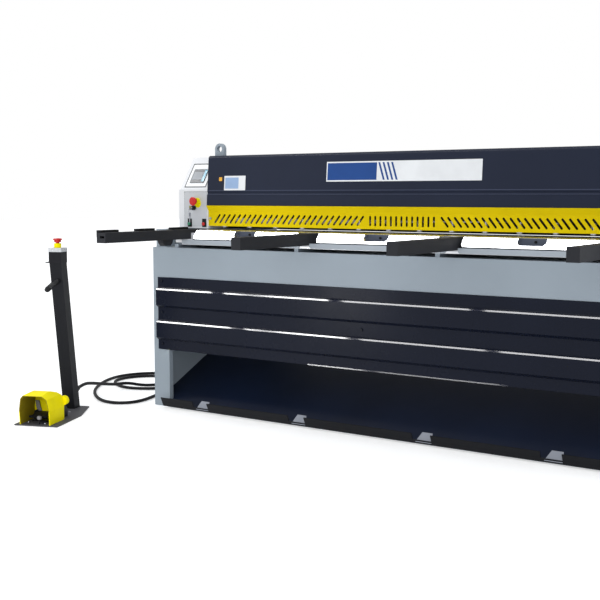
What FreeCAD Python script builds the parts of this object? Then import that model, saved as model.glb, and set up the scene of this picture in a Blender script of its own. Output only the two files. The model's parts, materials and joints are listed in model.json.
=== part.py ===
import FreeCAD, Part
import math
import os
import re
import Sketcher
from FreeCAD import Placement, Rotation, Vector

# Mechanical plate shear with its foot-switch console.
# Lengths are in millimetres. X runs along the cut, Y runs back into the machine from the front face of the beam, Z is up from the floor.
# Each piece is drawn from the middle of the cut and the front face, and is then placed so that the origin is the middle of the floor anchors.

doc = FreeCAD.newDocument("MechanicalShear")
sheet = doc.addObject("Spreadsheet::Sheet", "Sizes")

SIZES = {
    # side frames
    "seat_gap": 0.3, "overrun": 5, "machine_length": 2400, "side_plate": 20, "frame_depth": 1000, "front_plate": 25,
    "leg_width": 94, "leg_head_width": 60, "leg_head_set_back": 2,
    "jaw_width": 137, "jaw_front": 300, "jaw_drop": 56, "rear_post_top": 620, "shoulder": 820, "frame_rise": 3,
    "foot_length": 100, "foot_thickness": 20, "foot_start": 60, "anchor_radius": 9,
    # lower beam and bed
    "beam_bottom": 616, "beam_height": 140, "bed_back": 280, "bed_plate": 25, "bed_web": 40, "bed_web_height": 326,
    "gap_height": 16, "spacer_width": 20, "spacer_offset": 48, "spacer_front": 6,
    # table, blades
    "table_thickness": 65, "bevel_drop": 37, "bevel_run": 30,
    "arm_inset": 190.05, "notch_width": 106, "notch_depth": 90, "notch_corner": 8, "end_cut": 43,
    "pocket_width": 115, "pocket_drop": 27, "pocket_depth": 60, "pocket_corner": 10,
    "blade_thickness": 20, "blade_height": 80, "blade_inset": 175, "blade_rake": 1.3,
    "blade_gap": 19, "blade_show": 34, "ram_thickness": 30, "ram_height": 260,
    # arms
    "arm_width": 45, "arm_drop": 1, "arm_height": 50, "arm_front": -483, "arm_slide": 19, "arm_back": 84,
    "square_arm_rise": 5, "square_arm_width": 51, "square_arm_shift": 3.2, "square_arm_height": 44, "square_arm_front": -530,
    "end_slot_width": 25, "end_slot_height": 10, "end_slot_shift": 6, "end_slot_rise": 20, "end_slot_depth": 40,
    "lug_width": 30, "lug_distance": 369, "lug_length": 74, "lug_drop": 27, "lug_taper": 6, "lug_bevel": 12,
    "bracket_width": 96, "bracket_front": 1, "bracket_plate": 5, "ear_width": 24, "ear_front": 26, "ear_height": 28,
    "fence_inset": 2, "fence_length": 120, "fence_pitch": 230, "fence_count": 3, "fence_width": 30, "fence_thickness": 10,
    "fence_overhang": 11, "fence_skirt": 20, "fence_corner": 8,
    # ribbed apron
    "apron_inset": 30, "apron_sheet": 3, "apron_gap": 1, "apron_height": 342, "rib_rise": 15,
    "rib_drop": 47, "rib_face": 72, "rib_bevel": 12, "rib_pitch": 154,
    # chute
    "chute_slope": 25, "chute_front_height": 28, "chute_back_gap": 100, "chute_sheet": 3, "chute_side_gap": 2,
    "lip_run": 28, "lip_rise": 34, "lip_foot": 12, "lip_sheet": 4, "lip_inset": 70, "lip_notch_width": 85, "lip_notch_depth": 26,
    "lip_notch_first": 234, "lip_notch_second": 770, "lip_notch_third": 884, "lip_notch_fourth": 343,
    "tie_front": -12, "tie_back": 40, "tie_floor_gap": 2, "rear_tie_depth": 60, "rear_tie_height": 90,
    # upper works
    "housing_front": 232, "housing_width": 180.7, "housing_overhang": 34, "kink_rise": 189, "kink_step": 10,
    "panel_slope": 56, "housing_back": 760, "cover_shoulder": 620, "rear_kink_drop": 187, "rear_cover_rise": 23,
    "cover_sheet": 3, "cover_front": 223, "cover_lean": 17, "cover_rise": 350,
    "cover_bend": 15, "bead_rise": 49.7, "bead_height": 15, "bead_step": 3, "cover_join_gap": 60,
    "guard_gap": 15, "guard_face": 240, "guard_sheet": 2.5, "guard_upright": 69, "guard_height": 98, "guard_flare": 20,
    "slot_rise": 13, "slot_height": 45, "slot_radius": 5, "slot_lean": 28, "slot_pitch": 30.6,
    "slot_margin": 53.6, "slot_inner": 203.4, "middle_pitch": 25.7, "middle_count": 13,
    "clamp_gap": 6, "clamp_depth": 40, "clamp_rise": 55, "clamp_height": 258,
    "foot_pad_radius": 14, "foot_pad_gap": 9, "foot_pad_margin": 78, "foot_pad_count": 14,
    "eye_width": 54, "eye_height": 60, "eye_thickness": 20, "eye_hole_radius": 15, "eye_inset": 27, "eye_front": 290,
    # controls on the left housing
    "fascia_sheet": 2, "fascia_half": 66, "fascia_start": 12, "fascia_length": 140, "fascia_offset": 92.7,
    "bezel_half": 42, "bezel_start": 40, "bezel_length": 62, "bezel_sheet": 3,
    "panel_sheet": 2, "panel_rise": 11, "panel_height": 164, "panel_offset": 4.7, "panel_width": 140,
    "stop_offset": 60.7, "stop_rise": 122, "collar_radius": 16, "collar_length": 20, "stem_radius": 8, "running_gap": 0.3,
    "mushroom_radius": 21, "mushroom_neck": 15, "mushroom_length": 19, "mushroom_travel": 4, "button_travel": 3, "stroke_gap": 1,
    "start_offset": 111.7, "button_rise": 13, "halt_offset": 21.7, "button_radius": 8, "button_length": 9,
    "button_collar_radius": 12, "button_collar_length": 5, "key_offset": 83.7, "key_rise": 90, "key_radius": 11, "key_length": 14,
    # back gauge
    "guide_place": 700, "guide_width": 40, "guide_drop": 26, "guide_length": 670,
    "gauge_inset": 200, "gauge_distance": 480, "gauge_wall": 8, "gauge_height": 90, "gauge_depth": 60,
    # console
    "console_x": -1312, "console_y": -651.3, "console_turn": 21,
    "plate_width": 204, "plate_shift": 5, "plate_start": -4, "plate_straight": 241, "plate_end": 437, "plate_end_width": 104,
    "plate_thickness": 5, "post_width": 57.5, "post_shift": -11, "post_place": 390, "post_lean": 8.9, "post_top": 694,
    "head_width": 61, "head_flange": 4, "head_flange_wing": 17, "head_height": 46, "cap_height": 18, "cap_rim": 1,
    "peg_radius": 13, "peg_length": 46, "peg_height": 598, "peg_droop": 40,
    "hood_half": 71, "hood_bulge": 72, "hood_bulge_rise": 60, "hood_shoulder": 62, "hood_shoulder_drop": 23, "hood_flat": 39,
    "hood_length": 140, "hood_visor": 20, "hood_visor_rise": 113, "hood_front_height": 136, "hood_peak": 142, "hood_peak_front": 45,
    "hood_peak_back": 75, "hood_crown_back": 115, "hood_crown_height": 131, "hood_back_height": 112, "hood_wall": 3,
    "switch_half": 52, "switch_back": 215, "switch_top": 60, "switch_bevel": 20,
    "knob_radius": 21, "knob_length": 26, "knob_edge": 5, "knob_place": 66, "knob_height": 88,
    "pedal_half": 42, "pedal_front": 32, "pedal_pivot": 108, "pedal_pivot_height": 36, "pedal_fall": 2, "pedal_thickness": 5,
    "pedal_toe": 6, "pin_radius": 5, "pin_clearance": 0.1, "hub_radius": 9,
    "pedal_cheek": 6, "pedal_side_gap": 2, "pedal_stand_plate": 4, "pedal_stand_front": 34, "pedal_stand_back": 16, "cheek_half": 12,
    # cable
    "cord_diameter": 16, "gland_radius": 14, "gland_length": 24, "gland_nut": 10, "gland_step": 3, "gland_offset": 14, "gland_height": 86,
    "inlet_depth": 520, "inlet_height": 100,
}

# Sizes and places that follow from the ones above.
DERIVED = {
    "beam_top": "beam_bottom + beam_height",
    "table_top": "beam_top + gap_height + table_thickness",
    "table_edge": "table_top - bevel_drop",
    "pocket_floor": "table_top - pocket_drop",
    "frame_top": "table_top + frame_rise",
    "jaw_bottom": "beam_top - jaw_drop",
    "bed_web_bottom": "beam_top - bed_web_height",
    "arm_pitch": "(machine_length / 2 - arm_inset) / 1.5",
    "arm_bottom": "table_top - arm_drop - arm_height",
    "notch_floor": "arm_bottom - bracket_plate",
    "square_arm_bottom": "table_top + square_arm_rise - square_arm_height",
    "square_arm_top": "square_arm_bottom + square_arm_height",
    "cut_length": "machine_length - 2 * blade_inset",
    "upper_blade_bottom": "table_top + blade_gap",
    "ram_bottom": "upper_blade_bottom + blade_show",
    "ram_top": "ram_bottom + ram_height",
    "apron_half": "machine_length / 2 - apron_inset",
    "apron_top": "beam_bottom - apron_gap",
    "apron_bottom": "apron_top - apron_height",
    "rib_top": "apron_top - rib_drop",
    "chute_back": "frame_depth - chute_back_gap",
    "lip_half": "machine_length / 2 - lip_inset",
    "housing_inner": "machine_length / 2 + housing_overhang - housing_width",
    "cover_half": "housing_inner - seat_gap",
    "cover_top": "table_top + cover_rise",
    "cover_join": "cover_shoulder - cover_join_gap",
    "housing_top": "cover_top - cover_sheet",
    "kink_height": "table_top + kink_rise",
    "rear_kink": "cover_top - rear_kink_drop",
    "cover_rear_bottom": "table_top + rear_cover_rise",
    "guard_bottom": "table_top + guard_gap",
    "guard_bend": "guard_bottom + guard_upright",
    "guard_top": "guard_bottom + guard_height",
    "cover_bottom": "guard_top + seat_gap",
    "bead_low": "cover_bottom + bead_rise",
    "bead_high": "bead_low + bead_height",
    "slot_low": "guard_bottom + slot_rise",
    "slot_high": "slot_low + slot_height",
    "slot_first": "cover_half - slot_margin",
    "slot_count": "floor((slot_first - slot_inner) / slot_pitch) + 1",
    "clamp_front": "guard_face + clamp_gap",
    "clamp_bottom": "table_top + clamp_rise",
    "clamp_top": "clamp_bottom + clamp_height",
    "foot_pad_bottom": "table_top + foot_pad_gap",
    "foot_pad_pitch": "2 * (cover_half - foot_pad_margin) / (foot_pad_count - 1)",
    "eye_place": "cover_half - eye_inset",
    "fascia_centre": "housing_inner + fascia_offset",
    "panel_low": "table_top + panel_rise",
    "panel_high": "panel_low + panel_height",
    "panel_right": "housing_inner + panel_offset",
    "panel_left": "panel_right + panel_width",
    "stop_place": "housing_inner + stop_offset",
    "stop_height": "panel_low + stop_rise",
    "start_place": "housing_inner + start_offset",
    "halt_place": "housing_inner + halt_offset",
    "button_height": "panel_low + button_rise",
    "key_place": "housing_inner + key_offset",
    "key_height": "panel_low + key_rise",
    "guide_top": "beam_top - guide_drop",
    "guide_end": "bed_back + guide_length",
    "gauge_half": "machine_length / 2 - gauge_inset",
    "gauge_front": "bed_back + gauge_distance",
}

for row, (alias, amount) in enumerate((SIZES | DERIVED).items(), start=1):
    sheet.set(f"A{row}", alias.replace("_", " "))
    sheet.set(f"B{row}", f"={amount}")
    sheet.setAlias(f"B{row}", alias)
doc.recompute()

ANCHOR_CENTRE = "(frame_depth / 2)"
HALF = "(machine_length / 2)"
INNER = "(machine_length / 2 - side_plate)"


def bound(text):
    """Turn the names of sizes in an expression into references to the sheet."""
    return re.sub(r"[a-z_]\w*", lambda word: "Sizes." + word[0] if word[0] in SIZES | DERIVED else word[0], str(text))


def number(text):
    """The value of an expression now."""
    answer = sheet.evalExpression(bound(text))
    return float(getattr(answer, "Value", answer))


def mirror_of(text):
    return f"-({text})"


PLANES = {"front": "XZ_Plane", "side": "YZ_Plane", "floor": "XY_Plane"}


def sketch(body, plane, start, name):
    """A sketch in the body, parallel to one of its planes and `start` along that plane's axis."""
    made = body.newObject("Sketcher::SketchObject", name)
    origin = next(item for item in body.Origin.OriginFeatures if item.Role == PLANES[plane])
    made.AttachmentSupport = [(origin, "")]
    made.MapMode = "FlatFace"
    sign = "-1 * " if plane == "front" else ""
    made.setExpression("AttachmentOffset.Base.z", bound(f"{sign}({start})"))
    return made


def tie(made, kind, geometry, point, text):
    """Hold one coordinate or radius of the sketch to an expression."""
    value = number(text)
    if kind == "Radius":
        index = made.addConstraint(Sketcher.Constraint("Radius", geometry, value))
    else:
        index = made.addConstraint(Sketcher.Constraint(kind, -1, 1, geometry, point, value))
    made.setExpression(f"Constraints[{index}]", bound(text))


def polygon(made, points):
    """A closed outline whose corners are pairs of expressions."""
    first = made.GeometryCount
    corners = [Vector(number(u), number(v), 0) for u, v in points]
    count = len(corners)
    for i in range(count):
        made.addGeometry(Part.LineSegment(corners[i], corners[(i + 1) % count]), False)
    for i in range(count):
        made.addConstraint(Sketcher.Constraint("Coincident", first + i, 2, first + (i + 1) % count, 1))
    for i, (u, v) in enumerate(points):
        tie(made, "DistanceX", first + i, 1, u)
        tie(made, "DistanceY", first + i, 1, v)


def rectangle(made, low, high):
    polygon(made, [low, (high[0], low[1]), high, (low[0], high[1])])


def circle(made, centre, radius):
    geometry = made.addGeometry(Part.Circle(Vector(number(centre[0]), number(centre[1]), 0), Vector(0, 0, 1), number(radius)), False)
    tie(made, "DistanceX", geometry, 3, centre[0])
    tie(made, "DistanceY", geometry, 3, centre[1])
    tie(made, "Radius", geometry, 0, radius)


def stadium(made, low, high, radius):
    """A slot with round ends between two centres, each a pair of expressions."""
    run, rise = f"({high[0]} - ({low[0]}))", f"({high[1]} - ({low[1]}))"
    across = f"({radius} * {rise} / sqrt({run} ^ 2 + {rise} ^ 2))"
    along = f"({radius} * {run} / sqrt({run} ^ 2 + {rise} ^ 2))"
    corners = [
        (f"{low[0]} + {across}", f"{low[1]} - {along}"), (f"{high[0]} + {across}", f"{high[1]} - {along}"),
        (f"{high[0]} - {across}", f"{high[1]} + {along}"), (f"{low[0]} - {across}", f"{low[1]} + {along}"),
    ]
    p = [Vector(number(u), number(v), 0) for u, v in corners]
    heading = Vector(number(run), number(rise), 0).normalize() * number(radius)
    top = (p[1] + p[2]) * 0.5 + heading
    bottom = (p[0] + p[3]) * 0.5 - heading
    right = made.addGeometry(Part.LineSegment(p[0], p[1]), False)
    upper = made.addGeometry(Part.Arc(p[1], top, p[2]), False)
    left = made.addGeometry(Part.LineSegment(p[2], p[3]), False)
    lower = made.addGeometry(Part.Arc(p[3], bottom, p[0]), False)
    made.addConstraint(Sketcher.Constraint("Coincident", right, 2, upper, 1))
    made.addConstraint(Sketcher.Constraint("Coincident", upper, 2, left, 1))
    made.addConstraint(Sketcher.Constraint("Coincident", left, 2, lower, 1))
    made.addConstraint(Sketcher.Constraint("Coincident", lower, 2, right, 1))
    for geometry, point, corner in ((right, 1, 0), (right, 2, 1), (left, 1, 2), (left, 2, 3)):
        tie(made, "DistanceX", geometry, point, corners[corner][0])
        tie(made, "DistanceY", geometry, point, corners[corner][1])
    tie(made, "DistanceY", upper, 3, high[1])
    tie(made, "DistanceY", lower, 3, low[1])


pieces = []


def keep(piece, label, placement=None):
    """Name a finished piece and stand it in the machine."""
    piece.Label = label
    piece.Placement = placement or Placement(Vector(0, -number(ANCHOR_CENTRE), 0), Rotation())
    pieces.append(piece)
    return piece


def body_of(label):
    return doc.addObject("PartDesign::Body", "Body_" + label)


def pad(body, plane, start, length, draw, name="Pad"):
    """Extrude the outline that draw() puts in a sketch, along the plane's axis."""
    made = sketch(body, plane, start, name + "Sketch")
    draw(made)
    feature = body.newObject("PartDesign::Pad", name)
    feature.Profile = made
    feature.Reversed = plane == "front"
    feature.setExpression("Length", bound(length))
    doc.recompute()
    return feature


def pocket(body, plane, start, length, draw, name="Pocket"):
    """Cut the outline away, along the plane's axis, and make sure that it cuts."""
    before = body.Shape.Volume
    made = sketch(body, plane, start, name + "Sketch")
    draw(made)
    feature = body.newObject("PartDesign::Pocket", name)
    feature.Profile = made
    feature.Reversed = plane != "front"
    feature.setExpression("Length", bound(length))
    doc.recompute()
    if body.Shape.Volume > before - 1:
        raise RuntimeError(f"{body.Name}: {name} cut nothing")
    return feature


def repeat(body, feature, pitch, count, axis="H_Axis"):
    """Repeat a cut or a pad along its own sketch."""
    pattern = body.newObject("PartDesign::LinearPattern", feature.Name + "Row")
    pattern.Originals = [feature]
    pattern.Direction = (feature.Profile[0], [axis])
    pattern.setExpression("Length", bound(f"({pitch}) * ({count} - 1)"))
    pattern.setExpression("Occurrences", bound(count))
    body.Tip = pattern
    doc.recompute()
    return pattern


def prism(label, plane, start, length, points, placement=None):
    """One piece of constant section."""
    body = body_of(label)
    pad(body, plane, start, length, lambda made: polygon(made, points), "Section")
    return keep(body, label, placement)


def turned(label, points, placement):
    """One turned piece: points are radius and height, turned about the local Z axis."""
    body = body_of(label)
    made = sketch(body, "front", 0, "Profile")
    polygon(made, points)
    feature = body.newObject("PartDesign::Revolution", "Turned")
    feature.Profile = made
    feature.ReferenceAxis = (made, ["V_Axis"])
    feature.Angle = 360
    doc.recompute()
    return keep(body, label, placement)


def mirrored(source, label):
    """The same piece at the other end of the machine."""
    twin = doc.addObject("Part::Mirroring", "Twin_" + label)
    twin.Source = source
    twin.Base = Vector(0, 0, 0)
    twin.Normal = Vector(1, 0, 0)
    twin.Label = label
    pieces.append(twin)
    return twin


# Side frames: a plate with a front leg flange, a rear flange, a jaw block that carries the upper works, and anchored feet.
def side_frame():
    body = body_of("left_side_frame")
    plate = [
        ("front_plate", 0), ("frame_depth", 0), ("frame_depth", "rear_post_top"), ("shoulder", "frame_top"), ("front_plate", "frame_top"),
    ]
    pad(body, "side", f"-{HALF}", "side_plate", lambda made: polygon(made, plate), "Plate")
    left = f"-{HALF}"
    pad(body, "front", 0, "front_plate",
        lambda made: rectangle(made, (left, 0), (f"{left} + leg_width", "beam_bottom")), "Leg")
    pad(body, "front", "leg_head_set_back + front_plate", "front_plate",
        lambda made: rectangle(made, (left, "beam_top"), (f"{left} + leg_head_width", "frame_top")), "Head")
    pad(body, "front", "frame_depth - front_plate", "front_plate",
        lambda made: rectangle(made, (left, 0), (f"{left} + leg_width", "rear_post_top - front_plate")), "RearLeg")
    pad(body, "side", left, "jaw_width",
        lambda made: rectangle(made, ("jaw_front", "jaw_bottom"), ("shoulder", "frame_top")), "Jaw")
    for name, start in (("FrontFoot", "foot_start"), ("RearFoot", "frame_depth - foot_start - foot_length")):
        pad(body, "floor", 0, "foot_thickness",
            lambda made: rectangle(made, (left, start), (f"{left} + side_plate + foot_length", f"{start} + foot_length")), name)
    for name, place in (("FrontAnchor", "foot_start + foot_length / 2"), ("RearAnchor", "frame_depth - foot_start - foot_length / 2")):
        pocket(body, "floor", 0, "foot_thickness",
               lambda made: circle(made, (f"{left} + side_plate + foot_length / 2", place), "anchor_radius"), name)
    return keep(body, "left_side_frame")


left_frame = side_frame()
mirrored(left_frame, "right_side_frame")

# Lower beam across the front, and the bed behind it with its top plate and web.
prism("front_beam", "front", 0, "front_plate", [
    (f"-{HALF}", "beam_bottom"), (HALF, "beam_bottom"), (HALF, "beam_top"), (f"-{HALF}", "beam_top")])
prism("bed_beam", "side", f"-{INNER}", f"2 * {INNER}", [
    ("front_plate", "beam_top - bed_plate"), ("bed_back - bed_web", "beam_top - bed_plate"), ("bed_back - bed_web", "bed_web_bottom"),
    ("bed_back", "bed_web_bottom"), ("bed_back", "beam_top"), ("front_plate", "beam_top")])

FIRST_ARM = "(-1.5 * arm_pitch)"
TABLE_BOTTOM = "(beam_top + gap_height)"


# Spacer strips between the bed and the table, one beside each arm.
for index in range(4):
    side = f"({FIRST_ARM} + {index} * arm_pitch - spacer_offset)"
    strip = doc.addObject("Part::Box", f"Spacer{index}")
    strip.setExpression("Length", bound("spacer_width"))
    strip.setExpression("Width", bound("bed_back - 2 * spacer_front"))
    strip.setExpression("Height", bound("gap_height"))
    strip.setExpression("Placement.Base.x", bound(f"{side} - spacer_width / 2"))
    strip.setExpression("Placement.Base.y", bound("spacer_front"))
    strip.setExpression("Placement.Base.z", bound("beam_top"))
spacers = doc.addObject("Part::Compound", "Spacers")
spacers.Links = [doc.getObject(f"Spacer{index}") for index in range(4)]
keep(spacers, "table_spacers")


# Table: bevelled front edge, floored notches for the arms with eased mouths, and round-cornered finger pockets.
def table():
    body = body_of("table")
    half = "(1.5 * arm_pitch + notch_width / 2)"
    section = [
        (0, TABLE_BOTTOM), ("bed_back", TABLE_BOTTOM), ("bed_back", "table_top"), ("bevel_run", "table_top"), (0, "table_edge")]
    pad(body, "side", f"-{half}", f"2 * {half}", lambda made: polygon(made, section), "Slab")
    near, far = f"{FIRST_ARM} - notch_width / 2", f"{FIRST_ARM} + notch_width / 2"
    notch = pocket(body, "floor", "notch_floor", "table_top - notch_floor", lambda made: polygon(made, [
        (f"{near} - notch_corner", "-overrun"), (f"{far} + notch_corner", "-overrun"), (f"{far} + notch_corner", 0),
        (far, "notch_corner"), (far, "notch_depth"), (near, "notch_depth"), (near, "notch_corner"), (f"{near} - notch_corner", 0)]), "Notch")
    repeat(body, notch, "arm_pitch", 4)
    for name, low, high in (
            ("LeftEnd", f"-{half} - overrun", f"-{half} + end_cut"), ("RightEnd", f"{half} - end_cut", f"{half} + overrun")):
        pocket(body, "floor", TABLE_BOTTOM, f"notch_floor - {TABLE_BOTTOM}", lambda made: rectangle(
            made, (low, "-overrun"), (high, "notch_depth")), name)
    left, right = "-arm_pitch - pocket_width / 2", "-arm_pitch + pocket_width / 2"
    finger = pocket(body, "front", "-overrun", "pocket_depth + overrun", lambda made: polygon(made, [
        (f"{left} + pocket_corner", "pocket_floor"), (f"{right} - pocket_corner", "pocket_floor"),
        (right, "pocket_floor + pocket_corner"), (right, "table_top + overrun"), (left, "table_top + overrun"),
        (left, "pocket_floor + pocket_corner")]), "FingerPocket")
    repeat(body, finger, "arm_pitch", 3)
    return keep(body, "table")


table()


# Blades: straight bars bolted through, the lower one level and the upper one raked.
def blade(label, front, low, rake):
    body = body_of(label)
    left, right = "-cut_length / 2", "cut_length / 2"
    lift = f"cut_length * tan({rake})"
    pad(body, "front", f"{front}", "blade_thickness", lambda made: polygon(made, [
        (left, low), (right, f"{low} + {lift}"), (right, f"{low} + {lift} + blade_height"), (left, f"{low} + blade_height")]), "Bar")
    return keep(body, label)


blade("lower_blade", "bed_back", "table_top - blade_height", "0")
blade("upper_blade", "bed_back + blade_thickness", "upper_blade_bottom", "blade_rake")
prism("blade_beam", "front", "bed_back + 2 * blade_thickness", "ram_thickness", [
    ("-cover_half", "ram_bottom"), ("cover_half", "ram_bottom + 2 * cover_half * tan(blade_rake)"),
    ("cover_half", "ram_top"), ("-cover_half", "ram_top")])

# Hold-down beam and its row of clamping feet.
prism("hold_down_beam", "side", "-cover_half", "2 * cover_half", [
    ("clamp_front", "clamp_bottom"), ("clamp_front + clamp_depth", "clamp_bottom"), ("clamp_front + clamp_depth", "clamp_top"),
    ("clamp_front", "clamp_top")])
feet = []
for index in range(SIZES["foot_pad_count"]):
    foot = doc.addObject("Part::Cylinder", f"FootPad{index}")
    foot.setExpression("Radius", bound("foot_pad_radius"))
    foot.setExpression("Height", bound("clamp_bottom - foot_pad_bottom"))
    foot.setExpression("Placement.Base.x", bound(f"({index} - (foot_pad_count - 1) / 2) * foot_pad_pitch"))
    foot.setExpression("Placement.Base.y", bound("clamp_front + clamp_depth / 2"))
    foot.setExpression("Placement.Base.z", bound("foot_pad_bottom"))
    feet.append(foot)
pads = doc.addObject("Part::Compound", "FootPads")
pads.Links = feet
keep(pads, "hold_down_feet")


# Arms: square tubes that run forward from the notches, each on a bracket plate that lies on the notch's floor.
def arm(label, place, width, bottom, height, front):
    body = body_of(label)
    pad(body, "front", front, f"arm_back - ({front})", lambda made: rectangle(
        made, (f"{place} - {width} / 2", bottom), (f"{place} + {width} / 2", f"{bottom} + {height}")), "Tube")
    return body


SQUARE_ARM = f"({FIRST_ARM} - square_arm_shift)"


# Squaring arm: it has a slot in its front end and a clamp lug below.
def squaring_arm():
    body = arm("squaring_arm", SQUARE_ARM, "square_arm_width", "square_arm_bottom", "square_arm_height", "square_arm_front")
    front = "(square_arm_front + lug_distance)"
    back = f"({front} + lug_length)"
    low = "(square_arm_bottom - lug_drop)"
    pad(body, "side", f"{SQUARE_ARM} - lug_width / 2", "lug_width", lambda made: polygon(made, [
        (front, "square_arm_bottom + lug_taper"), (front, "square_arm_bottom"), (f"{front} + lug_taper", f"{low} + lug_bevel"),
        (f"{front} + lug_taper + lug_bevel", low), (f"{back} - lug_taper - lug_bevel", low), (f"{back} - lug_taper", f"{low} + lug_bevel"),
        (back, "square_arm_bottom"), (back, "square_arm_bottom + lug_taper")]), "Lug")
    middle = f"({SQUARE_ARM} + end_slot_shift)"
    floor = "square_arm_bottom + end_slot_rise"
    pocket(body, "front", "square_arm_front - overrun", "end_slot_depth + overrun", lambda made: rectangle(
        made, (f"{middle} - end_slot_width / 2", floor), (f"{middle} + end_slot_width / 2", f"{floor} + end_slot_height")), "EndSlot")
    return keep(body, "squaring_arm")


squaring_arm()
# The middle support arm stands nearer to the right side of its notch.
for index, slide in (1, "0"), (2, "arm_slide"), (3, "0"):
    label = f"support_arm_{index}"
    keep(arm(label, f"({FIRST_ARM} + {index} * arm_pitch + {slide})", "arm_width", "arm_bottom", "arm_height", "arm_front"), label)


# Brackets: a plate under each arm, and on the first one an ear beside the arm.
def bracket(index, top):
    body = doc.addObject("PartDesign::Body", f"Bracket{index}")
    place = f"({FIRST_ARM} + {index} * arm_pitch)"
    pad(body, "floor", "notch_floor", f"{top} - notch_floor", lambda made: rectangle(
        made, (f"{place} - bracket_width / 2", "bracket_front"), (f"{place} + bracket_width / 2", "arm_back")), "Plate")
    if index == 0:
        side = f"({SQUARE_ARM} + square_arm_width / 2 + seat_gap)"
        pad(body, "floor", top, "ear_height", lambda made: rectangle(
            made, (side, "ear_front"), (f"{side} + ear_width", "arm_back")), "Ear")
    return body


stands = doc.addObject("Part::Compound", "ArmBrackets")
stands.Links = [bracket(index, "arm_bottom" if index else "square_arm_bottom") for index in range(4)]
keep(stands, "arm_brackets")


# Fence along the squaring arm: angle plates with gaps for the stops between them.
def fence_plate(index):
    body = doc.addObject("PartDesign::Body", f"Fence{index}")
    left = f"({SQUARE_ARM} - square_arm_width / 2 - fence_overhang)"
    right = f"({left} + fence_width)"
    front = f"(square_arm_front + fence_inset + {index} * fence_pitch)"
    back = f"({front} + fence_length)"
    pad(body, "floor", "square_arm_top", "fence_thickness", lambda made: polygon(made, [
        (f"{left} + fence_corner", front), (f"{right} - fence_corner", front), (right, f"{front} + fence_corner"),
        (right, f"{back} - fence_corner"), (f"{right} - fence_corner", back), (f"{left} + fence_corner", back),
        (left, f"{back} - fence_corner"), (left, f"{front} + fence_corner")]), "Top")
    pad(body, "floor", "square_arm_top - fence_skirt", "fence_skirt", lambda made: rectangle(
        made, (left, f"{front} + fence_corner"), (f"{left} + fence_overhang", f"{back} - fence_corner")), "Skirt")
    return body


fence = doc.addObject("Part::Compound", "SquaringFence")
fence.Links = [fence_plate(index) for index in range(SIZES["fence_count"])]
keep(fence, "squaring_fence")


# Apron: one folded sheet with two raised ribs.
def apron_profile():
    front = "(-apron_sheet)"
    raised = "(-apron_sheet - rib_rise)"
    line = [(front, "apron_top")]
    for index in range(2):
        top = f"rib_top - {index} * rib_pitch"
        line += [
            (front, top), (raised, f"{top} - rib_bevel"), (raised, f"{top} - rib_bevel - rib_face"),
            (front, f"{top} - 2 * rib_bevel - rib_face")]
    line.append((front, "apron_bottom"))
    back = [(f"{y} + apron_sheet", z) for y, z in reversed(line)]
    return line + back


prism("apron_panel", "side", "-apron_half", "2 * apron_half", apron_profile())


# Chute: a sheet that falls to the front between the frames, and the notched lip square to it.
def chute_at(depth, drop="0"):
    """Height of the chute's upper face at a depth, or of a face that lies `drop` under it."""
    return f"(chute_front_height + ({depth}) * tan(chute_slope) - ({drop}) / cos(chute_slope))"


def on_chute(along, out):
    """A point by its run along the slope and its height square to the slope."""
    return (f"(({along}) * cos(chute_slope) - ({out}) * sin(chute_slope))",
            f"(chute_front_height + ({along}) * sin(chute_slope) + ({out}) * cos(chute_slope))")


def chute():
    body = body_of("chute")
    wide = f"({INNER} - chute_side_gap)"
    narrow = f"({HALF} - leg_width - chute_side_gap)"
    behind = "(front_plate + chute_side_gap)"
    nose = "lip_sheet - lip_run + seat_gap"
    pad(body, "side", f"-{wide}", f"2 * {wide}", lambda made: polygon(made, [
        (behind, chute_at(behind, "chute_sheet")), ("chute_back", chute_at("chute_back", "chute_sheet")),
        ("chute_back", chute_at("chute_back")), (behind, chute_at(behind))]), "Slide")
    pad(body, "side", f"-{narrow}", f"2 * {narrow}", lambda made: polygon(made, [
        on_chute(nose, "-chute_sheet"), (behind, chute_at(behind, "chute_sheet")),
        (behind, chute_at(behind)), on_chute(nose, 0)]), "Nose")
    return keep(body, "chute")


def chute_lip():
    body = body_of("chute_lip")
    front, back = "-lip_run", "lip_sheet - lip_run"
    pad(body, "side", "-lip_half", "2 * lip_half", lambda made: polygon(made, [
        on_chute(front, "-lip_foot"), on_chute(back, "-lip_foot"), on_chute(back, "lip_rise"), on_chute(front, "lip_rise")]), "Strip")
    top = on_chute(front, "lip_rise")
    notches = [
        ("First", "lip_notch_first - lip_half"), ("Second", "lip_notch_second - lip_half"),
        ("Third", "lip_half - lip_notch_third"), ("Fourth", "lip_half - lip_notch_fourth")]
    for name, centre in notches:
        pocket(body, "front", f"{top[0]} - overrun", "lip_run", lambda made: rectangle(
            made, (f"{centre} - lip_notch_width / 2", f"{top[1]} - lip_notch_depth"),
            (f"{centre} + lip_notch_width / 2", f"{top[1]} + overrun")), name + "Notch")
    return keep(body, "chute_lip")


chute()
chute_lip()
span = f"({HALF} - leg_width)"
prism("front_cross_member", "side", f"-{span}", f"2 * {span}", [
    ("tie_front", "tie_floor_gap"), ("tie_back", "tie_floor_gap"), ("tie_back", chute_at("tie_back", "chute_sheet + seat_gap")),
    ("tie_front", chute_at("tie_front", "chute_sheet + seat_gap"))])
rear_tie = "(chute_back - rear_tie_depth)"
prism("rear_cross_member", "side", f"-{INNER}", f"2 * {INNER}", [
    (rear_tie, f"{chute_at(rear_tie, 'chute_sheet')} - rear_tie_height"),
    ("chute_back", f"{chute_at(rear_tie, 'chute_sheet')} - rear_tie_height"),
    ("chute_back", chute_at("chute_back", "chute_sheet + seat_gap")), (rear_tie, chute_at(rear_tie, "chute_sheet + seat_gap"))])

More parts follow.
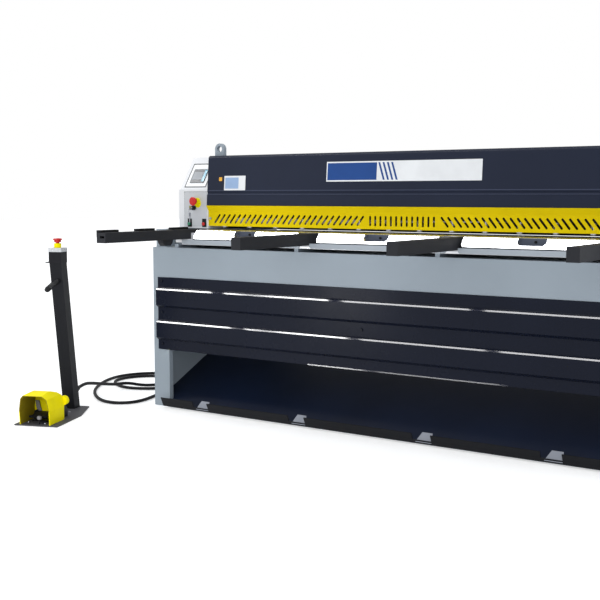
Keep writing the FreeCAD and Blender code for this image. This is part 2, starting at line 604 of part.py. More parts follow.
# Upper front cover: one folded sheet from the guard over the top, with a low bead across its face and a rolled bend above.
COVER_FACE = [
    ("cover_front", "cover_bottom"),
    ("cover_front + cover_lean * 0.21", "bead_low"),
    ("cover_front + cover_lean * 0.23 + bead_step", "bead_low + 3"),
    ("cover_front + cover_lean * 0.27 + bead_step", "bead_high - 3"),
    ("cover_front + cover_lean * 0.29", "bead_high"),
]
BEND_STEPS = 5


def cover_bend_line(inset):
    """The rolled bend from the face to the top, `inset` under the outer skin."""
    angles = [90 * step / BEND_STEPS for step in range(BEND_STEPS + 1)]
    return [(f"cover_front + cover_lean + cover_bend - (cover_bend - {inset}) * cos({angle})",
             f"cover_top - cover_bend + (cover_bend - {inset}) * sin({angle})") for angle in angles]


outside = COVER_FACE + cover_bend_line("0") + [("cover_join", "cover_top")]
inside = [(f"{y} + cover_sheet", z if z == "cover_bottom" else f"{z} - cover_sheet * 0.4") for y, z in COVER_FACE]
inside += cover_bend_line("cover_sheet") + [("cover_join", "cover_top - cover_sheet")]
prism("upper_cover", "side", "-cover_half", "2 * cover_half", outside + inside[::-1])
prism("rear_cover", "side", "-cover_half", "2 * cover_half", [
    ("cover_join + seat_gap", "cover_top"), ("cover_shoulder", "cover_top"), ("housing_back", "rear_kink"),
    ("housing_back", "cover_rear_bottom"), ("housing_back - cover_sheet", "cover_rear_bottom"),
    ("housing_back - cover_sheet", "rear_kink"), ("cover_shoulder - cover_sheet", "cover_top - cover_sheet"),
    ("cover_join + seat_gap", "cover_top - cover_sheet")])


# Finger guard: a folded strip with a flared top and three groups of slots.
def finger_guard():
    body = body_of("finger_guard")
    back = "guard_face"
    pad(body, "side", "-cover_half", "2 * cover_half", lambda made: polygon(made, [
        (f"{back} - guard_sheet", "guard_bottom"), (back, "guard_bottom"), (back, "guard_bend"),
        (f"{back} - guard_flare", "guard_top"), (f"{back} - guard_flare - guard_sheet", "guard_top"),
        (f"{back} - guard_sheet", "guard_bend")]), "Strip")
    low, high = "slot_low + slot_radius", "slot_high - slot_radius"
    start, depth = "guard_face - guard_sheet - overrun", "guard_sheet + 2 * overrun"
    left = pocket(body, "front", start, depth, lambda made: stadium(
        made, ("-slot_first - slot_lean / 2", low), ("-slot_first + slot_lean / 2", high), "slot_radius"), "LeaningLeft")
    repeat(body, left, "slot_pitch", "slot_count")
    right = pocket(body, "front", start, depth, lambda made: stadium(
        made, ("slot_inner + slot_lean / 2", low), ("slot_inner - slot_lean / 2", high), "slot_radius"), "LeaningRight")
    repeat(body, right, "slot_pitch", "slot_count")
    middle = pocket(body, "front", start, depth, lambda made: stadium(
        made, ("-middle_pitch * (middle_count - 1) / 2", low), ("-middle_pitch * (middle_count - 1) / 2", high), "slot_radius"), "Upright")
    repeat(body, middle, "middle_pitch", "middle_count")
    return keep(body, "finger_guard")


finger_guard()


# Housings over the frame heads: upright front, sloped control face, flat top and a sloped back.
def housing():
    kink = "housing_front + kink_step"
    outer = f"-({HALF} + housing_overhang)"
    return prism("left_housing", "side", outer, f"{HALF} + housing_overhang - housing_inner", [
        ("housing_front", "frame_top"), ("housing_front", "kink_height"), (kink, "kink_height"),
        (f"{kink} + (housing_top - kink_height) / tan(panel_slope)", "housing_top"),
        ("cover_shoulder", "housing_top"), ("housing_back", "rear_kink"), ("housing_back", "frame_top")])


left_housing = housing()
mirrored(left_housing, "right_housing")


# Lifting eyes on top, over the ends of the hold-down beam: round-headed ears with a shackle hole.
def lifting_eye():
    body = body_of("left_lifting_eye")
    left, right = "-eye_place - eye_width / 2", "-eye_place + eye_width / 2"
    centre = "cover_top + eye_height - eye_width / 2"
    pad(body, "front", "eye_front", "eye_thickness", lambda made: rectangle(made, (left, "cover_top"), (right, centre)), "Ear")
    pad(body, "front", "eye_front", "eye_thickness", lambda made: circle(made, ("-eye_place", centre), "eye_width / 2"), "Crown")
    pocket(body, "front", "eye_front", "eye_thickness", lambda made: circle(made, ("-eye_place", centre), "eye_hole_radius"), "Eye")
    return keep(body, "left_lifting_eye")


left_eye = lifting_eye()
mirrored(left_eye, "right_lifting_eye")


# Sloped fascia and its bezel, laid on the control face of the left housing.
def on_slope(along, out):
    kink = "(housing_front + kink_step)"
    return (f"{kink} + ({along}) * cos(panel_slope) - ({out}) * sin(panel_slope)",
            f"kink_height + ({along}) * sin(panel_slope) + ({out}) * cos(panel_slope)")


def sloped_plate(label, half, start, length, low, thickness):
    return prism(label, "side", f"-fascia_centre - {half}", f"2 * {half}", [
        on_slope(start, low), on_slope(start, f"{low} + {thickness}"),
        on_slope(f"{start} + {length}", f"{low} + {thickness}"), on_slope(f"{start} + {length}", low)])


sloped_plate("control_fascia", "fascia_half", "fascia_start", "fascia_length", "0", "fascia_sheet")
sloped_plate("display_bezel", "bezel_half", "bezel_start", "bezel_length", "fascia_sheet", "bezel_sheet")
prism("control_panel", "front", "housing_front - panel_sheet", "panel_sheet", [
    ("-panel_left", "panel_low"), ("-panel_right", "panel_low"), ("-panel_right", "panel_high"), ("-panel_left", "panel_high")])


def facing_front(place, height, depth):
    """A turned piece whose axis runs forward out of the control panel."""
    return Placement(Vector(-number(place), number(depth) - number(ANCHOR_CENTRE), number(height)), Rotation(Vector(1, 0, 0), 90))


PANEL_FACE = "housing_front - panel_sheet"


def ring(outer, bore, length):
    return [(bore, 0), (outer, 0), (outer, length), (bore, length)]


MUSHROOM_FOOT = "(collar_length + mushroom_travel + stroke_gap)"
MUSHROOM = [
    (0, "mushroom_travel + stroke_gap"), ("stem_radius", "mushroom_travel + stroke_gap"), ("stem_radius", MUSHROOM_FOOT),
    ("mushroom_neck", MUSHROOM_FOOT), ("mushroom_neck + stroke_gap", f"{MUSHROOM_FOOT} + mushroom_length * 0.45"),
    ("mushroom_radius", f"{MUSHROOM_FOOT} + mushroom_length * 0.6"), ("mushroom_radius", f"{MUSHROOM_FOOT} + mushroom_length * 0.75"),
    ("mushroom_radius * 0.8", f"{MUSHROOM_FOOT} + mushroom_length * 0.93"), (0, f"{MUSHROOM_FOOT} + mushroom_length"),
]
stop_place = facing_front("stop_place", "stop_height", PANEL_FACE)
turned("stop_collar", ring("collar_radius", "stem_radius + running_gap", "collar_length"), stop_place)
turned("stop_mushroom", MUSHROOM, stop_place)
for label, place in (("start_button", "start_place"), ("halt_button", "halt_place")):
    where = facing_front(place, "button_height", PANEL_FACE)
    turned(label, [
        (0, "button_travel + stroke_gap"), ("button_radius", "button_travel + stroke_gap"), ("button_radius", "button_length"),
        ("button_radius - stroke_gap", "button_length + stroke_gap"), (0, "button_length + stroke_gap")], where)
    turned(label + "_collar", ring("button_collar_radius", "button_radius + running_gap", "button_collar_length"), where)
turned("key_switch", [(0, 0), ("key_radius", 0), ("key_radius", "key_length - 2"), ("key_radius - 2", "key_length"), (0, "key_length")],
       facing_front("key_place", "key_height", PANEL_FACE))

# Back gauge: two guide bars from the bed web and the angle that stops the sheet.
guides = []
for index, sign in enumerate((-1, 1)):
    guide = doc.addObject("Part::Box", f"Guide{index}")
    guide.setExpression("Length", bound("guide_width"))
    guide.setExpression("Width", bound("guide_end - bed_back"))
    guide.setExpression("Height", bound("guide_width"))
    guide.setExpression("Placement.Base.x", bound(f"{sign} * guide_place - guide_width / 2"))
    guide.setExpression("Placement.Base.y", bound("bed_back"))
    guide.setExpression("Placement.Base.z", bound("guide_top - guide_width"))
    guides.append(guide)
bars = doc.addObject("Part::Compound", "GaugeGuides")
bars.Links = guides
keep(bars, "back_gauge_guides")
prism("back_gauge_bar", "side", "-gauge_half", "2 * gauge_half", [
    ("gauge_front", "guide_top"), ("gauge_front + gauge_depth", "guide_top"), ("gauge_front + gauge_depth", "guide_top + gauge_wall"),
    ("gauge_front + gauge_wall", "guide_top + gauge_wall"), ("gauge_front + gauge_wall", "guide_top + gauge_height"),
    ("gauge_front", "guide_top + gauge_height")])

# Console: it stands beside the machine, turned towards the operator.
console = Placement(Vector(number("console_x"), number("console_y") - number(ANCHOR_CENTRE), 0),
                    Rotation(Vector(0, 0, 1), number("console_turn")))


def on_console(u, v, height, turn=Rotation()):
    return console * Placement(Vector(number(u), number(v), number(height)), turn)


prism("console_base", "floor", 0, "plate_thickness", [
    ("plate_shift - plate_width / 2", "plate_start"), ("plate_shift + plate_width / 2", "plate_start"),
    ("plate_shift + plate_width / 2", "plate_straight"), ("plate_shift + plate_end_width / 2", "plate_end"),
    ("plate_shift - plate_end_width / 2", "plate_end"), ("plate_shift - plate_width / 2", "plate_straight")], console)


def post_at(height):
    return f"(post_place - (({height}) - plate_thickness) * tan(post_lean))"


prism("console_post", "side", "post_shift - post_width / 2", "post_width", [
    (f"{post_at('plate_thickness')} - post_width / 2", "plate_thickness"),
    (f"{post_at('plate_thickness')} + post_width / 2", "plate_thickness"),
    (f"{post_at('post_top')} + post_width / 2", "post_top"), (f"{post_at('post_top')} - post_width / 2", "post_top")], console)


def console_head():
    body = body_of("console_head")
    middle = post_at("post_top")
    half = "(head_width / 2)"
    pad(body, "floor", "post_top", "head_flange", lambda made: rectangle(
        made, (f"post_shift - {half} - head_flange_wing", f"{middle} - {half}"), (f"post_shift + {half}", f"{middle} + {half}")), "Flange")
    pad(body, "floor", "post_top + head_flange", "head_height", lambda made: rectangle(
        made, (f"post_shift - {half}", f"{middle} - {half}"), (f"post_shift + {half}", f"{middle} + {half}")), "Box")
    return keep(body, "console_head", console)


console_head()
cap_low = "post_top + head_flange + head_height"
cap_half = "(head_width / 2 + cap_rim)"
prism("console_cap", "floor", cap_low, "cap_height", [
    (f"post_shift - {cap_half}", f"{post_at('post_top')} - {cap_half}"), (f"post_shift + {cap_half}", f"{post_at('post_top')} - {cap_half}"),
    (f"post_shift + {cap_half}", f"{post_at('post_top')} + {cap_half}"), (f"post_shift - {cap_half}", f"{post_at('post_top')} + {cap_half}")],
      console)
cap_top = f"{cap_low} + cap_height"
turned("console_stop_collar", ring("collar_radius", "stem_radius + running_gap", "collar_length"),
       on_console("post_shift", post_at("post_top"), cap_top))
turned("console_stop_mushroom", MUSHROOM, on_console("post_shift", post_at("post_top"), cap_top))


# Hand peg on the left of the post, pointing down and outwards, with its foot cut to lie on the post.
def console_peg():
    body = body_of("console_peg")
    made = sketch(body, "front", 0, "Profile")
    low = "(-peg_radius * tan(peg_droop) - seat_gap)"
    polygon(made, [(0, low), ("peg_radius", low), ("peg_radius", "peg_length"), ("peg_radius * 0.7", "peg_length + peg_radius * 0.7"),
                   (0, "peg_length + peg_radius")])
    feature = body.newObject("PartDesign::Revolution", "Turned")
    feature.Profile = made
    feature.ReferenceAxis = (made, ["V_Axis"])
    feature.Angle = 360
    doc.recompute()
    reach = "(peg_radius + overrun)"
    pocket(body, "front", f"-{reach}", f"2 * {reach}", lambda made: polygon(made, [
        (f"-{reach}", f"{reach} * tan(peg_droop)"), (f"-{reach}", f"-{reach} * (tan(peg_droop) + 1)"),
        (reach, f"-{reach} * (tan(peg_droop) + 1)"), (reach, f"-{reach} * tan(peg_droop)")]), "Foot")
    turn = Rotation(Vector(0, 1, 0), -90 - number("peg_droop"))
    return keep(body, "console_peg", on_console("post_shift - post_width / 2", post_at("peg_height"), "peg_height", turn))


console_peg()


# Pedal hood: a shell with cut shoulders, a raised crown, a mouth that leans forward like a visor, and an open foot.
def hood_form(label, inset, front, foot):
    """The hood's outer form, or with an inset the hollow in it."""
    body = doc.addObject("PartDesign::Body", label)
    start, width = "-hood_bulge - overrun", "2 * (hood_bulge + overrun)"
    above = "(hood_peak + overrun)"
    right = [
        (f"hood_half - {inset}", foot), (f"hood_bulge - {inset}", "plate_thickness + hood_bulge_rise"),
        (f"hood_shoulder - {inset}", f"hood_peak - hood_shoulder_drop - {inset} / 2"), (f"hood_flat - {inset} / 2", f"hood_peak - {inset}")]
    outline = right + [(mirror_of(u), v) for u, v in reversed(right)]
    pad(body, "front", front, f"hood_length - {inset} - ({front})", lambda made: polygon(made, outline), "Block")
    pocket(body, "side", start, width, lambda made: polygon(made, [
        ("-hood_visor - 2 * overrun", f"hood_front_height - {inset}"), ("-hood_visor", f"hood_front_height - {inset}"),
        ("hood_peak_front", f"hood_peak - {inset}"), ("hood_peak_front", above), ("-hood_visor - 2 * overrun", above)]), "FrontFall")
    pocket(body, "side", start, width, lambda made: polygon(made, [
        ("hood_peak_back", f"hood_peak - {inset}"), ("hood_crown_back", f"hood_crown_height - {inset}"),
        ("hood_length", f"hood_back_height - {inset}"), ("hood_length + overrun", f"hood_back_height - {inset}"),
        ("hood_length + overrun", above), ("hood_peak_back", above)]), "BackFall")
    return body


def pedal_hood():
    low = "plate_thickness"
    outer = hood_form("HoodForm", "0", "-hood_visor", low)
    pocket(outer, "side", "-hood_bulge - overrun", "2 * (hood_bulge + overrun)", lambda made: polygon(made, [
        ("-hood_visor - overrun", f"{low} - overrun"), (0, f"{low} - overrun"), (0, low), ("-hood_visor / 2", f"{low} + hood_visor_rise"),
        ("-hood_visor", "hood_front_height"), ("-hood_visor - overrun", "hood_front_height")]), "Mouth")
    shell = doc.addObject("Part::Cut", "HoodShell")
    shell.Base = outer
    shell.Tool = hood_form("HoodHollow", "hood_wall", "-hood_visor - overrun", f"{low} - overrun")
    doc.recompute()
    return keep(shell, "pedal_hood", console)


pedal_hood()
prism("switch_block", "side", "-switch_half", "2 * switch_half", [
    ("hood_length + seat_gap", "plate_thickness"), ("switch_back", "plate_thickness"), ("switch_back", "switch_top - switch_bevel"),
    ("switch_back - switch_bevel", "switch_top"), ("hood_length + seat_gap", "switch_top")], console)
turned("hood_knob", [
    (0, 0), ("knob_radius", 0), ("knob_radius", "knob_length - knob_edge"), ("knob_radius - knob_edge", "knob_length"), (0, "knob_length")],
       on_console("knob_place", "hood_length + seat_gap", "knob_height", Rotation(Vector(1, 0, 0), -90)))


# Pedal stand: a foot plate with two cheeks and the pin that the pedal turns on.
def pedal_stand():
    body = body_of("pedal_stand")
    inner = "(pedal_half + pedal_side_gap)"
    pad(body, "side", f"-{inner} - pedal_cheek", f"2 * ({inner} + pedal_cheek)", lambda made: rectangle(
        made, ("pedal_pivot - pedal_stand_front", "plate_thickness"),
        ("pedal_pivot + pedal_stand_back", "plate_thickness + pedal_stand_plate")), "Foot")
    for name, start in (("LeftCheek", f"-{inner} - pedal_cheek"), ("RightCheek", inner)):
        pad(body, "side", start, "pedal_cheek", lambda made: polygon(made, [
            ("pedal_pivot - 2 * cheek_half", "plate_thickness + pedal_stand_plate"),
            ("pedal_pivot + pedal_stand_back", "plate_thickness + pedal_stand_plate"),
            ("pedal_pivot + cheek_half", "pedal_pivot_height + cheek_half"),
            ("pedal_pivot - cheek_half", "pedal_pivot_height + cheek_half")]), name)
    pad(body, "side", f"-{inner}", f"2 * {inner}", lambda made: circle(made, ("pedal_pivot", "pedal_pivot_height"), "pin_radius"), "Pin")
    return keep(body, "pedal_stand", console)


# Foot pedal: a tread with a turned-up toe, on a hub bored for the pin.
def foot_pedal():
    body = body_of("foot_pedal")
    middle = "pedal_pivot_height"
    pad(body, "side", "-pedal_half", "2 * pedal_half", lambda made: circle(made, ("pedal_pivot", middle), "hub_radius"), "Hub")
    pad(body, "side", "-pedal_half", "2 * pedal_half", lambda made: polygon(made, [
        ("pedal_front", f"{middle} - pedal_fall - pedal_thickness"), ("pedal_pivot", f"{middle} + pin_radius"),
        ("pedal_pivot", f"{middle} + hub_radius"), ("pedal_front + pedal_toe", f"{middle} - pedal_fall"),
        ("pedal_front", f"{middle} - pedal_fall + pedal_toe"), ("pedal_front - pedal_toe", f"{middle} - pedal_fall + pedal_toe / 2")]), "Tread")
    pocket(body, "side", "-pedal_half - overrun", "2 * (pedal_half + overrun)", lambda made: circle(
        made, ("pedal_pivot", middle), "pin_radius + pin_clearance"), "Bore")
    return keep(body, "foot_pedal", console)


pedal_stand()
foot_pedal()


# Cable glands: one on the back of the post, one on the outside of the left frame.
GLAND = [
    (0, 0), ("gland_radius", 0), ("gland_radius", "gland_nut"), ("gland_radius - gland_step", "gland_nut + gland_step / 2"),
    ("gland_radius - gland_step", "gland_length"), (0, "gland_length")]


post_back = f"{post_at('gland_height')} + post_width / 2"
post_turn = Rotation(Vector(1, 0, 0), number("post_lean") - 90)
turned("console_gland", GLAND, on_console("post_shift + gland_offset", post_back, "gland_height", post_turn))
turned("frame_gland", GLAND, Placement(
    Vector(-number(HALF), number("inlet_depth") - number(ANCHOR_CENTRE), number("inlet_height")), Rotation(Vector(0, 1, 0), -90)))

# Cable from the post to the left frame, with the two loose turns that lie beside the leg.
# Places are measured from the left end and the front face of the beam.
CORD_ROUTE = [
    (-288, -184.4, 100.5), (-324, -88, 84), (-364, 30, 58), (-398, 140, 36), (-402, 236, 30),
    (-370, 308, 9), (-318, 360, 8.3), (-296, 430, 8.3), (-310, 508, 8.3), (-362, 566, 8.3), (-440, 586, 8.3), (-522, 562, 8.3),
    (-586, 484, 8.3), (-603, 400, 8.3), (-577, 325, 8.3), (-521, 268, 8.3), (-455, 233, 8.3), (-388, 217, 8.3), (-316, 236, 8.3),
    (-246, 282, 8.3), (-220, 360, 8.3), (-228, 450, 8.3), (-258, 548, 8.3), (-322, 640, 8.3), (-428, 690, 8.3), (-545, 657, 8.3),
    (-634, 572, 8.3), (-667, 460, 8.3), (-643, 343, 8.3), (-583, 222, 8.3), (-503, 104, 8.3), (-411, 6, 8.3), (-311, -71, 8.3),
    (-228, -112, 8.3), (-150, -110, 8.3), (-98, -62, 8.3), (-90, 14, 8.3), (-110, 98, 8.3), (-134, 180, 8.3), (-152, 262, 8.6),
    (-167, 345, 20), (-176, 432, 50), (-146, 488, 80), (-90, 520, 100),
]


def cord():
    shift = Vector(-number(HALF), -number(ANCHOR_CENTRE), 0)
    exit_frame = on_console("post_shift + gland_offset", post_back, "gland_height", post_turn)
    start = exit_frame.multVec(Vector(0, 0, number("gland_length")))
    end = Vector(-number(HALF) - number("gland_length"), number("inlet_depth") - number(ANCHOR_CENTRE), number("inlet_height"))
    route = [start] + [Vector(*point) + shift for point in CORD_ROUTE] + [end]
    edges = []
    radii = []
    last = route[0]
    for before, corner, after in zip(route, route[1:], route[2:]):
        inward = (before - corner)
        outward = (after - corner)
        shorter = min(inward.Length, outward.Length)
        turn = math.pi - inward.getAngle(outward)
        radius = 0.45 * shorter / math.tan(turn / 2)
        reach = radius * math.tan(turn / 2)
        first = corner + inward.normalize() * reach
        second = corner + outward.normalize() * reach
        bisector = (inward + outward).normalize()
        middle = corner + bisector * (radius / math.cos(turn / 2) - radius)
        edges.append(Part.LineSegment(last, first).toShape())
        edges.append(Part.Arc(first, middle, second).toShape())
        radii.append(radius)
        last = second
    edges.append(Part.LineSegment(last, route[-1]).toShape())
    path = Part.Wire(edges)
    heading = route[1] - route[0]
    section = Part.Wire(Part.Circle(route[0], heading, number("cord_diameter") / 2).toShape())
    tube = path.makePipeShell([section], True, False)
    expected = math.pi * (number("cord_diameter") / 2) ** 2 * path.Length
    print(f"cable {path.Length:.0f} mm, volume against section times length {tube.Volume / expected:.4f}")
    print("cable radii", [round(radius) for radius in radii], "from", [round(value, 1) for value in start - shift])
    piece = doc.addObject("Part::Feature", "ConsoleCable")
    piece.Shape = tube
    piece.Label = "console_cable"
    pieces.append(piece)


cord()

doc.recompute()
for item in doc.Objects:
    if "Invalid" in item.State or "Error" in item.State:
        raise RuntimeError(f"{item.Name} ({item.Label}) failed: {item.State}")

os.makedirs("parts", exist_ok=True)
for piece in pieces:
    shape = piece.Shape
    if shape.isNull() or not shape.isValid():
        raise RuntimeError(f"{piece.Label} has no valid shape")
    shape.exportStep(f"parts/{piece.Label}.step")
    print(f"{piece.Label}: {len(shape.Solids)} solids, {shape.Volume / 1e6:.3f} litres")
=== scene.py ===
import bpy
import bmesh
import json
import math
from mathutils import Matrix, Vector


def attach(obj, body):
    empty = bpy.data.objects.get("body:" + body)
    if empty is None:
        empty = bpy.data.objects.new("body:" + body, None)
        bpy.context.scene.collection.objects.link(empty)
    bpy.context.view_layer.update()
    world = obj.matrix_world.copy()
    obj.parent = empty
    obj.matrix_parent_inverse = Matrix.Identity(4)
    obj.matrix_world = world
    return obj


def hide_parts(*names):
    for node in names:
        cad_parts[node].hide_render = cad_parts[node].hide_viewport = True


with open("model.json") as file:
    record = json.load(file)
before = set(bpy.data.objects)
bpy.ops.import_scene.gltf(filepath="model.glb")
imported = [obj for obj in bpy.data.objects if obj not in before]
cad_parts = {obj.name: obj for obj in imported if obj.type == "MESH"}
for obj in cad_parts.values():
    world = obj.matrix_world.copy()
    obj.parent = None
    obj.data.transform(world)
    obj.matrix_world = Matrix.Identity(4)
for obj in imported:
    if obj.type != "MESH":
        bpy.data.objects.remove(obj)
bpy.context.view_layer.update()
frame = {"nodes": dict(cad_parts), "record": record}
nodes = frame["nodes"]
print("loaded", len(nodes), "nodes")

# Places are in millimetres as in the drawing: from the left end, the front of the beam and the floor
machine = {"length": 2400, "depth": 1000}
front = Vector((0, -1, 0))
sideways = Vector((1, 0, 0))
upwards = Vector((0, 0, 1))


def place(x, y, z):
    return Vector(((x - machine["length"] / 2) / 1000, (y - machine["depth"] / 2) / 1000, z / 1000))


# Camera at the photograph's corner of the machine
view = {
    "x": 3356.05, "y": -3723.68, "z": 1000.0, "down": 5.7106, "left": 34.0587, "lens": 63.0, "sensor": 36.0,
}
cameraData = bpy.data.cameras.new("photoCamera")
cameraData.lens = view["lens"]
cameraData.sensor_width = view["sensor"]
camera = bpy.data.objects.new("photoCamera", cameraData)
camera.location = place(view["x"], view["y"], view["z"])
camera.rotation_euler = (math.radians(90 - view["down"]), 0, math.radians(view["left"]))
bpy.context.scene.collection.objects.link(camera)
bpy.context.scene.camera = camera
bpy.context.scene.view_settings.view_transform = "Standard"


def linear(red, green, blue):
    # colours are written as the photograph shows them, 0 to 255
    made = []
    for value in (red, green, blue):
        share = value / 255
        made.append(share / 12.92 if share <= 0.04045 else ((share + 0.055) / 1.055) ** 2.4)
    return (*made, 1.0)


def feed(tree, target, inputs):
    # an input is another node's socket, or a number, vector or colour of its own
    for label, value in inputs.items():
        if isinstance(value, bpy.types.NodeSocket):
            tree.links.new(value, target.inputs[label])
        else:
            target.inputs[label].default_value = value


def addNode(tree, kind, inputs=None, **settings):
    made = tree.nodes.new(kind)
    for label, value in settings.items():
        setattr(made, label, value)
    feed(tree, made, inputs or {})
    return made


def mathNode(tree, operation, first, second):
    return addNode(tree, "ShaderNodeMath", {0: first, 1: second}, operation=operation).outputs[0]


class Finish:
    # a material with short hands for the nodes that its recipes share
    def __init__(self, name):
        self.material = bpy.data.materials.new(name)
        self.material.use_nodes = True
        self.tree = self.material.node_tree
        self.shader = self.tree.nodes["Principled BSDF"]
        self.coords = addNode(self.tree, "ShaderNodeTexCoord").outputs["Object"]

    def stretched(self, scale):
        return addNode(self.tree, "ShaderNodeMapping", {
            "Vector": self.coords, "Scale": scale}).outputs["Vector"]

    def noise(self, scale, detail=3.0, rough=0.5, vector=None):
        return addNode(self.tree, "ShaderNodeTexNoise", {
            "Vector": vector or self.coords, "Scale": scale, "Detail": detail, "Roughness": rough,
        }).outputs["Fac"]

    def ramp(self, factor, *stops):
        made = addNode(self.tree, "ShaderNodeValToRGB", {"Fac": factor})
        for element, (position, colour) in zip(made.color_ramp.elements, stops):
            element.position = position
            element.color = colour
        return made.outputs["Color"]

    def span(self, factor, low, high):
        return addNode(self.tree, "ShaderNodeMapRange", {
            "Value": factor, "To Min": low, "To Max": high}).outputs["Result"]

    def blend(self, factor, first, second):
        return addNode(self.tree, "ShaderNodeMix", {
            "Factor": factor, "A": first, "B": second}, data_type="RGBA").outputs["Result"]

    def bump(self, height, strength, distance):
        return addNode(self.tree, "ShaderNodeBump", {
            "Height": height, "Strength": strength, "Distance": distance}).outputs["Normal"]

    def finished(self, inputs):
        feed(self.tree, self.shader, inputs)
        return self.material


def shaded(colour, share):
    return (colour[0] * share, colour[1] * share, colour[2] * share, 1.0)


def grey(share):
    return (share, share, share, 1.0)


def sprayPaint(name, colour, roughness=0.45, coat=0.0, cloud=0.05, peel=0.1, peelScale=420.0, dust=0.0,
               shine=0.1):
    # sprayed enamel: slow cloudiness, orange peel, and a little dust lying on what faces up
    t = Finish(name)
    dark, light = shaded(colour, 1 - cloud), shaded(colour, 1 + cloud)
    clouds = t.ramp(t.noise(2.6, detail=4.0), (0.3, dark), (0.7, light))
    specks = t.ramp(t.noise(95.0, detail=5.0, rough=0.7), (0.66, grey(0)), (0.8, grey(1)))
    marked = t.blend(t.span(specks, 0.0, 0.18), clouds, shaded(colour, 1.5))
    normal = addNode(t.tree, "ShaderNodeNewGeometry").outputs["Normal"]
    split = addNode(t.tree, "ShaderNodeSeparateXYZ", {"Vector": normal})
    facing = t.ramp(split.outputs["Z"], (0.55, grey(0)), (1.0, grey(dust)))
    return t.finished({
        "Base Color": t.blend(facing, marked, (0.42, 0.41, 0.39, 1.0)),
        "Roughness": t.span(t.noise(7.0, detail=5.0, rough=0.65), roughness - 0.07, roughness + 0.09),
        "Specular IOR Level": shine,
        "Coat Weight": coat,
        "Coat Roughness": 0.12,
        "Normal": t.bump(t.noise(peelScale, detail=2.0), peel, 0.0004),
    })


def groundSteel(name, colour, roughness):
    # ground or milled steel: fine strokes along the machine, with faint handling marks
    t = Finish(name)
    strokes = t.noise(22.0, detail=6.0, rough=0.7, vector=t.stretched((1.0, 60.0, 60.0)))
    stains = t.span(t.noise(4.0, detail=5.0, rough=0.6), 0.0, 0.35)
    tone = t.ramp(strokes, (0.25, shaded(colour, 0.86)), (0.75, shaded(colour, 1.1)))
    return t.finished({
        "Metallic": 1.0,
        "Base Color": t.blend(stains, tone, shaded(colour, 0.8)),
        "Roughness": t.span(strokes, roughness - 0.08, roughness + 0.12),
        "Normal": t.bump(strokes, 0.08, 0.0003),
    })


def mouldedPlastic(name, colour, roughness=0.4, grain=0.12, grainScale=900.0, shine=0.5):
    # moulded or printed plastic with a fine grain
    t = Finish(name)
    return t.finished({
        "Base Color": t.ramp(t.noise(9.0), (0.3, shaded(colour, 0.94)), (0.7, shaded(colour, 1.05))),
        "Roughness": t.span(t.noise(30.0, detail=4.0), roughness - 0.06, roughness + 0.08),
        "Normal": t.bump(t.noise(grainScale, detail=2.0), grain, 0.0003),
        "Specular IOR Level": shine,
    })


finishes = {
    "grey_paint": sprayPaint("greyEnamel", linear(151, 162, 172), roughness=0.42, dust=0.06, shine=0.35),
    "light_grey_paint": sprayPaint("lightGreyPowder", linear(226, 227, 230), cloud=0.03, peel=0.2,
                                   peelScale=800.0, dust=0.03, shine=0.35),
    "navy_paint": sprayPaint("navyEnamel", linear(17, 22, 37), roughness=0.26, cloud=0.1, peel=0.03,
                             shine=0.12),
    "chute_paint": sprayPaint("chuteEnamel", linear(16, 26, 48), cloud=0.2, peel=0.08, peelScale=300.0,
                              shine=0.15),
    "black_paint": sprayPaint("blackSatin", linear(27, 28, 32), cloud=0.12, peel=0.15, peelScale=600.0),
    "yellow_paint": sprayPaint("safetyYellow", linear(222, 196, 8), roughness=0.5, cloud=0.04, shine=0.03),
    "machined_steel": groundSteel("groundTable", linear(214, 216, 220), 0.2),
    "blade_steel": groundSteel("bladeSteel", linear(176, 178, 184), 0.24),
    "white_plastic": mouldedPlastic("whiteLaminate", linear(236, 238, 240)),
    "black_plastic": mouldedPlastic("blackMoulding", linear(26, 27, 29), roughness=0.45, shine=0.15),
    "light_grey_plastic": mouldedPlastic("greyMoulding", linear(196, 198, 201), roughness=0.45),
    "yellow_plastic": mouldedPlastic("yellowMoulding", linear(254, 238, 10), roughness=0.5, shine=0.04),
    "red_plastic": mouldedPlastic("redMoulding", linear(196, 32, 30), roughness=0.36, shine=0.25),
    "green_plastic": mouldedPlastic("greenMoulding", linear(24, 128, 92), roughness=0.36),
    "cable_sheath": mouldedPlastic("conduitBlack", linear(18, 18, 22), grain=0.1, grainScale=300.0,
                                   shine=0.15),
}

# each node takes the finish of its slot in the record
for row in frame["record"]["subparts"]:
    data = nodes[row["node"]].data
    data.materials.clear()
    data.materials.append(finishes[row["material_slot"]])

# some pieces are sprayed duller, lighter or darker than the rest of their slot
coverNavy = sprayPaint("coverNavy", linear(34, 40, 57), roughness=0.5, coat=0.06, cloud=0.06, peel=0.03,
                       shine=0.08)
armBlack = sprayPaint("armBlack", linear(46, 47, 51), roughness=0.5, cloud=0.08, peel=0.15, peelScale=600.0)
# the console base is sprayed a lighter grey than its black, as painted reflection on its glossy top
baseBlackSheen = sprayPaint("baseBlackSheen", linear(82, 82, 86), roughness=0.6, cloud=0.1, peel=0.15, peelScale=600.0)
headBlack = sprayPaint("headBlack", linear(30, 30, 34), roughness=0.5, cloud=0.06, peelScale=600.0)
doorGrey = sprayPaint("doorGrey", linear(198, 200, 204), cloud=0.03, peel=0.2, peelScale=800.0, shine=0.3)
ownFinishes = {
    "upper_cover": coverNavy, "rear_cover": coverNavy, "console_base": baseBlackSheen, "console_head": headBlack,
    "control_panel": doorGrey, "squaring_arm": armBlack, "support_arm_1": armBlack, "support_arm_2": armBlack,
    "support_arm_3": armBlack,
}
for name, finish in ownFinishes.items():
    nodes[name].data.materials[0] = finish
print("finishes on", len(nodes), "nodes")


def evaluated(source):
    # the plain mesh of an object whose curve or modifiers are worked out
    bpy.context.view_layer.update()
    return bpy.data.meshes.new_from_object(source.evaluated_get(bpy.context.evaluated_depsgraph_get()))


